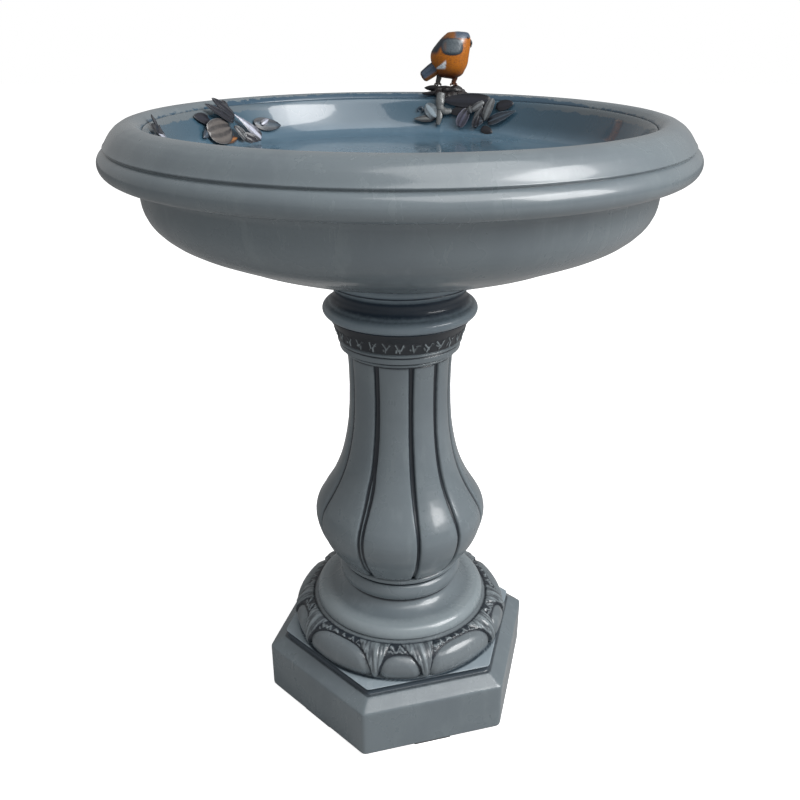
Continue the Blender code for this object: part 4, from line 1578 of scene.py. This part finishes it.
@dataclass
class FlowerSprays:
    """The two flower sprays and the small flower on the basin's wall."""

    wall_radius: float = 222.0
    wall: tuple[Point, ...] = (
        *((580.0, 203.0), (592.4, 208.5), (597.6, 212.4)),
        *((611.0, 219.0), (617.4, 222.0), (628.0, 225.5)),
    )
    height: float = 609.5
    right: float = 64.6
    left: float = 148.1
    lone: float = 184.0
    shoot: float = 77.8

    def on_wall(self, points: Array, bearing: float) -> Array:
        """Lays a flat drawing on the wall: X runs right along it, Y up and Z off it.

        The wall's radius comes from its height, between the listed places of the wall.

        Args:
            points: Places in millimetres.
            bearing: Bearing of the drawing's middle, in degrees.

        Returns:
            Places in metres.
        """
        angle = math.radians(bearing) - points[..., 0] / self.wall_radius
        height = self.height + points[..., 1]
        radius = np.interp(height, *zip(*self.wall)) - points[..., 2]
        return placed(radius, angle, height) * MM

    def leaf(
        self, piece: Casting, bearing: float, place: Place, turned: float, blade: Blade, colour: Colour
    ) -> None:
        """Adds one petal or leaf, with painted shade in its furrows and at its root, and painted highlight on
        its ribs and edges.

        Args:
            piece: Piece that it belongs to.
            bearing: Bearing of the drawing's middle.
            place: Its root: right, up and off the wall, in millimetres.
            turned: Turn from pointing right, in degrees.
            blade: Its shape.
            colour: Its paint.
        """
        points, along, across = blade.grid()
        c, s = math.cos(math.radians(turned)), math.sin(math.radians(turned))
        flat = points @ np.array([(c, s, 0.0), (-s, c, 0.0), (0.0, 0.0, 1.0)]) + np.array(place)
        ridge = smoothstep(0.2, 0.9, np.cos(across * math.pi * max(1.0, blade.ribs)))
        painted_shade = np.clip(0.7 * (1 - ridge) + 0.6 * np.exp(-along / 0.14), 0, 1) * 0.75
        highlight = smoothstep(0.82, 0.98, np.abs(across)) * smoothstep(0.3, 0.6, along)
        bright = np.maximum(ridge * smoothstep(0.45, 0.85, along) * 0.35, highlight * 0.55)
        crest = bright * min(1.0, colour[1] * 9)
        piece.grid(self.on_wall(flat, bearing), paint=colour, wash=painted_shade, crest=crest)

    def spray(self, name: str, finishes: Finishes, bearing: float, leaves: Sequence[tuple]) -> None:
        """Makes one piece of petals or leaves.

        Args:
            name: Part node that the piece stands for, and its name.
            finishes: The built materials.
            bearing: Bearing of its middle on the wall.
            leaves: Root, turn, shape and colour of each.
        """
        piece = Casting(name, BOWL, "leaf_glaze")
        for place, turned, blade, colour in leaves:
            self.leaf(piece, bearing, place, turned, blade, colour)
        piece.build(finishes[Finish.PETALS])

    def build(self, finishes: Finishes) -> None:
        """Makes the flowers, the leaves and the forked shoot."""
        grey, dark, pale = (0.100, 0.108, 0.115), (0.020, 0.022, 0.032), (0.180, 0.192, 0.200)
        mauve, slate, brown = (0.080, 0.082, 0.125), (0.060, 0.085, 0.115), (0.125, 0.112, 0.104)
        lilac, amber, night = (0.480, 0.500, 0.590), (0.300, 0.120, 0.035), (0.008, 0.009, 0.014)
        dusk: Colour = (0.034, 0.056, 0.080)
        sprays = {
            "flower_right": (
                self.right,
                ((-17, 6, 4), 246, Blade(22, 14, 2.6, 20, -34, 0.25, 2, 0.5, 2.2, 0.6), mauve),
                ((-14, 3, 6), 34, Blade(18, 8, 2.4, 18, -40, 0.3, 1, 0.5, 2.0, 0.5), pale),
                ((0, 9, 6), 240, Blade(18, 6, 2.2, 14, -30, 0.3, 1, 0.5, 1.6, 0.5), grey),
                ((-3, 0, 5), 258, Blade(15, 9, 2.4, 24, -50, 0.3, 2, 0.5, 2.0, 0.6), dark),
                ((5, -7, 5), 76, Blade(25, 11, 2.4, 24, -44, 0.25, 1, 0.4, 2.4, 0.5), pale),
                ((2, -4, 4), 118, Blade(15, 10, 2.4, 24, -40, 0.25, 2, 0.4, 2.2, 0.6), dark),
                ((4, -6, 4), 196, Blade(14, 9, 2.2, 24, -44, 0.3, 2, 0.4, 2.0, 0.6), slate),
                ((-12, 1, 7), 120, Blade(9, 6, 2.0, 40, -90, 0.3, 1, 0.3, 2.0, 0.5), grey),
            ),
            "leaf_right_1": (
                self.right,
                ((8, -8, 3), 22, Blade(36, 11, 2.4, 10, -16, 0.2, 2, 0.4, 1.0, 0.5), slate),
                ((14, 8, 2), 12, Blade(22, 11, 2.4, 10, -16, 0.2, 1, 0.3, 1.6, 0.5), dark),
                ((2, -14, 3), -14, Blade(17, 8, 2.4, 10, -18, 0.2, 1, 0.3, 1.5, 0.5), night),
            ),
            "leaf_right_2": (
                self.right,
                ((8, 14, 3), 181, Blade(56, 15, 3.0, 8, -12, 0.15, 1, 0.5, 1.7, 0.4), dark),
                ((-10, 8, 3), 196, Blade(30, 13, 2.8, 8, -14, 0.15, 1, 0.4, 1.4, 0.45), night),
            ),
            "flower_left": (
                self.left,
                ((6, -5, 4), 183, Blade(40, 24, 2.8, 16, -30, 0.22, 3, 0.35, 2.8, 0.5), brown),
                ((12, 0, 6), 150, Blade(40, 9, 2.6, 14, -26, 0.25, 2, 0.6, 1.5, 0.4), dark),
                ((16, 3, 5), 140, Blade(34, 10, 2.6, 16, -30, 0.25, 2, 0.6, 1.5, 0.4), dark),
                ((8, 6, 4), 118, Blade(16, 16, 2.6, 18, -30, 0.25, 1, 0.4, 2.4, 0.5), night),
                ((42, -19, 5), 134, Blade(40, 13, 2.6, 18, -36, 0.25, 1, 0.5, 0.75, 0.22), lilac),
                ((8, -15, 5), 184, Blade(30, 6, 2.2, 12, -22, 0.2, 1, 0.3, 1.4, 0.5), amber),
                ((16, -12, 5), 330, Blade(30, 12, 2.6, 18, -40, 0.3, 2, 0.5, 2.0, 0.6), dark),
                ((10, -4, 6), 300, Blade(17, 11, 2.4, 24, -50, 0.3, 2, 0.5, 2.0, 0.6), grey),
            ),
            "leaf_left_1": (
                self.left,
                ((42, -4, 2), 352, Blade(36, 13, 2.4, 6, -10, 0.2, 1, 0.3, 1.3, 0.5), dusk),
                ((50, -6, 4), 20, Blade(14, 6, 2.0, 20, -40, 0.2, 1, 0.3, 1.2, 0.5), lilac),
            ),
            "leaf_left_2": (
                self.left,
                ((-18, 4, 2), 166, Blade(24, 11, 2.2, 6, -10, 0.2, 1, 0.4, 1.3, 0.5), dark),
                ((-28, -4, 3), 204, Blade(16, 7, 2.0, 8, -14, 0.2, 1, 0.4, 1.2, 0.5), slate),
            ),
        }
        for name, (bearing, *leaves) in sprays.items():
            self.spray(name, finishes, bearing, leaves)
        small = Blade(17, 10, 2.0, 24, -40, 0.25, 1, 0.3, 1.8, 0.55)
        turns = ((10, dark), (84, dark), (150, night), (214, slate), (325, lilac), (280, dark))
        self.spray("flower_lone", finishes, self.lone, [((0, 5, 3), float(t), small, c) for t, c in turns])
        self.build_shoot(finishes)

    def build_shoot(self, finishes: Finishes) -> None:
        """Makes the grey forked shoot below the bird, with two leaves and a curl beside it."""
        grey: Colour = (0.120, 0.128, 0.130)
        # Partly the pale leaf's own colour and partly a painted reflection on it.
        light: Colour = (0.260, 0.320, 0.360)
        dusk: Colour = (0.024, 0.042, 0.062)
        piece = Casting("side_shoot", BOWL, "branch_paint")
        limbs = (
            ([(-1, 21, 1), (-0.5, 14, 4.5), (-0.5, 8, 5), (0, 2, 4.5)], 5.2, grey),
            ([(0, 6, 4.5), (4, 2.4, 5), (9, 1.4, 5), (14.5, 2.4, 4)], 3.6, grey),
            ([(0, 4, 4.5), (0.5, -2, 5), (-0.4, -8, 4.5), (-1.4, -13, 3.5)], 3.6, grey),
            ([(-26, 0, 2), (-25.4, 4, 2.6), (-22, 5, 2.8), (-20.4, 2, 2.8), (-22.4, 0.4, 2.6)], 1.2, dusk),
        )
        for knots, width, colour in limbs:
            path = spline(knots, 40)
            radii = swelling(width, 40, [0, 0.08, 0.5, 0.9, 1], [0.05, 0.95, 1.0, 0.75, 0.05])
            body = tube(path, radii, 18, 0.8)
            piece.grid(self.on_wall(body, self.shoot), paint=colour, wash=0.0, crest=0.0)
        for place, turned, blade, colour in (
            ((-3, -5, 4), 136, Blade(20, 14, 2.8, 16, -30, 0.2, 1, 0.4, 1.8, 0.5), light),
            ((-5, -6, 3), 182, Blade(26, 7, 2.4, 12, -20, 0.2, 1, 0.4, 1.2, 0.5), grey),
        ):
            self.leaf(piece, self.shoot, place, turned, blade, colour)
        piece.build(finishes[Finish.PETALS])


# ---------------------------------------------------------------- hardware and studio


@dataclass
class Hardware:
    """The rod, nuts, washers, plate, gasket, pads and spigot, which keep their own shapes."""

    steel: tuple[str, ...] = (
        *("tie_rod", "upper_nut", "lower_nut", "upper_washer", "lower_washer", "clamp_plate"),
    )
    rubber: tuple[str, ...] = ("seat_gasket",) + tuple(f"foot_pad_{k}" for k in range(1, 7))
    glazed: tuple[str, ...] = ("bowl_spigot",)

    def build(self, finishes: Finishes) -> None:
        """Dresses each piece in its finish."""
        dressed = ((self.steel, Finish.STEEL), (self.rubber, Finish.RUBBER), (self.glazed, Finish.STONE))
        for names, finish in dressed:
            for name in names:
                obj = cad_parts[name]
                for slot in obj.material_slots:
                    slot.material = finishes[finish]
                log.info("%s: finished as %s", name, finish.name.lower())


@dataclass
class Studio:
    """A pale floor, soft light and the camera."""

    eye: Place = (0.0, -0.8039, 0.7128)
    down: float = 24.55
    lens: float = 38.15
    film: float = 36.0
    floor_half: float = 9.0
    floor_bounce: float = 0.36
    floor_glow: float = 0.80
    room: float = 0.34
    panels: tuple[tuple, ...] = (
        ("key", (2.05, -1.0, 1.95), (0, 0, 0.5), (1.5, 1.6), 66, True),
        ("sky", (0.9, -0.9, 2.9), (0, 0, 0.3), (2.2, 2.0), 36, True),
        ("front", (-0.3, -2.6, 1.0), (0, 0, 0.3), (2.0, 1.6), 12, False),
    )

    def panel(
        self, name: str, place: Place, aim: Place, size: Point, power: float, mirrored: bool
    ) -> None:
        """A soft light panel at a place, turned to face another.

        Args:
            name: Name of the light.
            place: Where it hangs.
            aim: What it faces.
            size: Width and height.
            power: Watts.
            mirrored: Whether the glaze reflects it.
        """
        data = bpy.data.lights.new(name, "AREA")
        data.shape, data.size, data.size_y, data.energy = "RECTANGLE", size[0], size[1], power
        lamp = bpy.data.objects.new(name, data)
        lamp.location = place
        lamp.visible_glossy = mirrored
        lamp.rotation_euler = (Vector(aim) - Vector(place)).to_track_quat("-Z", "Y").to_euler()
        bpy.context.scene.collection.objects.link(lamp)

    def floor(self) -> None:
        """Lays the floor: white where the camera sees it, and dim where it would light the bowl."""
        mesh = bpy.data.meshes.new("floor")
        half = self.floor_half
        corners = [(-half, -half, 0), (half, -half, 0), (half, half, 0), (-half, half, 0)]
        mesh.from_pydata(corners, [], [(0, 1, 2, 3)])
        slab = bpy.data.objects.new("floor", mesh)
        bpy.context.scene.collection.objects.link(slab)
        made, s, shader, _ = new_material("pale floor")
        shader.inputs["Roughness"].default_value = 0.9
        shader.inputs["Specular IOR Level"].default_value = 0.0
        seen = s.node("LightPath").outputs["Is Camera Ray"]
        s.link(s.mix(seen, (self.floor_bounce,) * 3, (0.9, 0.9, 0.9)), shader.inputs["Base Color"])
        shader.inputs["Emission Color"].default_value = (1, 1, 1, 1)
        s.link(s.math("MULTIPLY", seen, self.floor_glow), shader.inputs["Emission Strength"])
        mesh.materials.append(made)

    def build(self) -> None:
        """Sets up the floor, the world, the lights and the camera."""
        scene = bpy.context.scene
        self.floor()
        world = bpy.data.worlds.new("studio")
        world.use_nodes = True
        scene.world = world
        w = Shade(world.node_tree)
        back = world.node_tree.nodes["Background"]
        seen = w.node("LightPath").outputs["Is Camera Ray"]
        w.link(w.math("MULTIPLY_ADD", seen, 1.0 - self.room, self.room), back.inputs["Strength"])
        back.inputs["Color"].default_value = (1, 1, 1, 1)
        for lamp in self.panels:
            self.panel(*lamp)

        data = bpy.data.cameras.new("camera")
        data.lens, data.sensor_width = self.lens, self.film
        camera = bpy.data.objects.new("camera", data)
        camera.location = self.eye
        camera.rotation_euler = (math.radians(90 - self.down), 0, 0)
        scene.collection.objects.link(camera)
        scene.camera = camera
        scene.view_settings.view_transform = "Standard"
        scene.view_settings.look = "None"


def main() -> None:
    """Builds the bird bath from the ground up, then the studio round it."""
    logging.basicConfig(level=logging.INFO, format="%(message)s")
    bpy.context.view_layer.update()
    finishes = Finishes()
    Plinth().build(finishes)
    LeafCushion().build(finishes)
    FootTurnings().build(finishes)
    Shaft().build(finishes)
    NeckAndCapital().build(finishes)
    Bowl().build(finishes)
    branch = Branch()
    branch.build(finishes)
    perch_top = branch.crest() + Vector((0, 0, 8.2 * MM))
    Songbird().build(finishes, perch_top)
    FlowerSprays().build(finishes)
    Hardware().build(finishes)
    Studio().build()


if __name__ == "__main__":
    main()
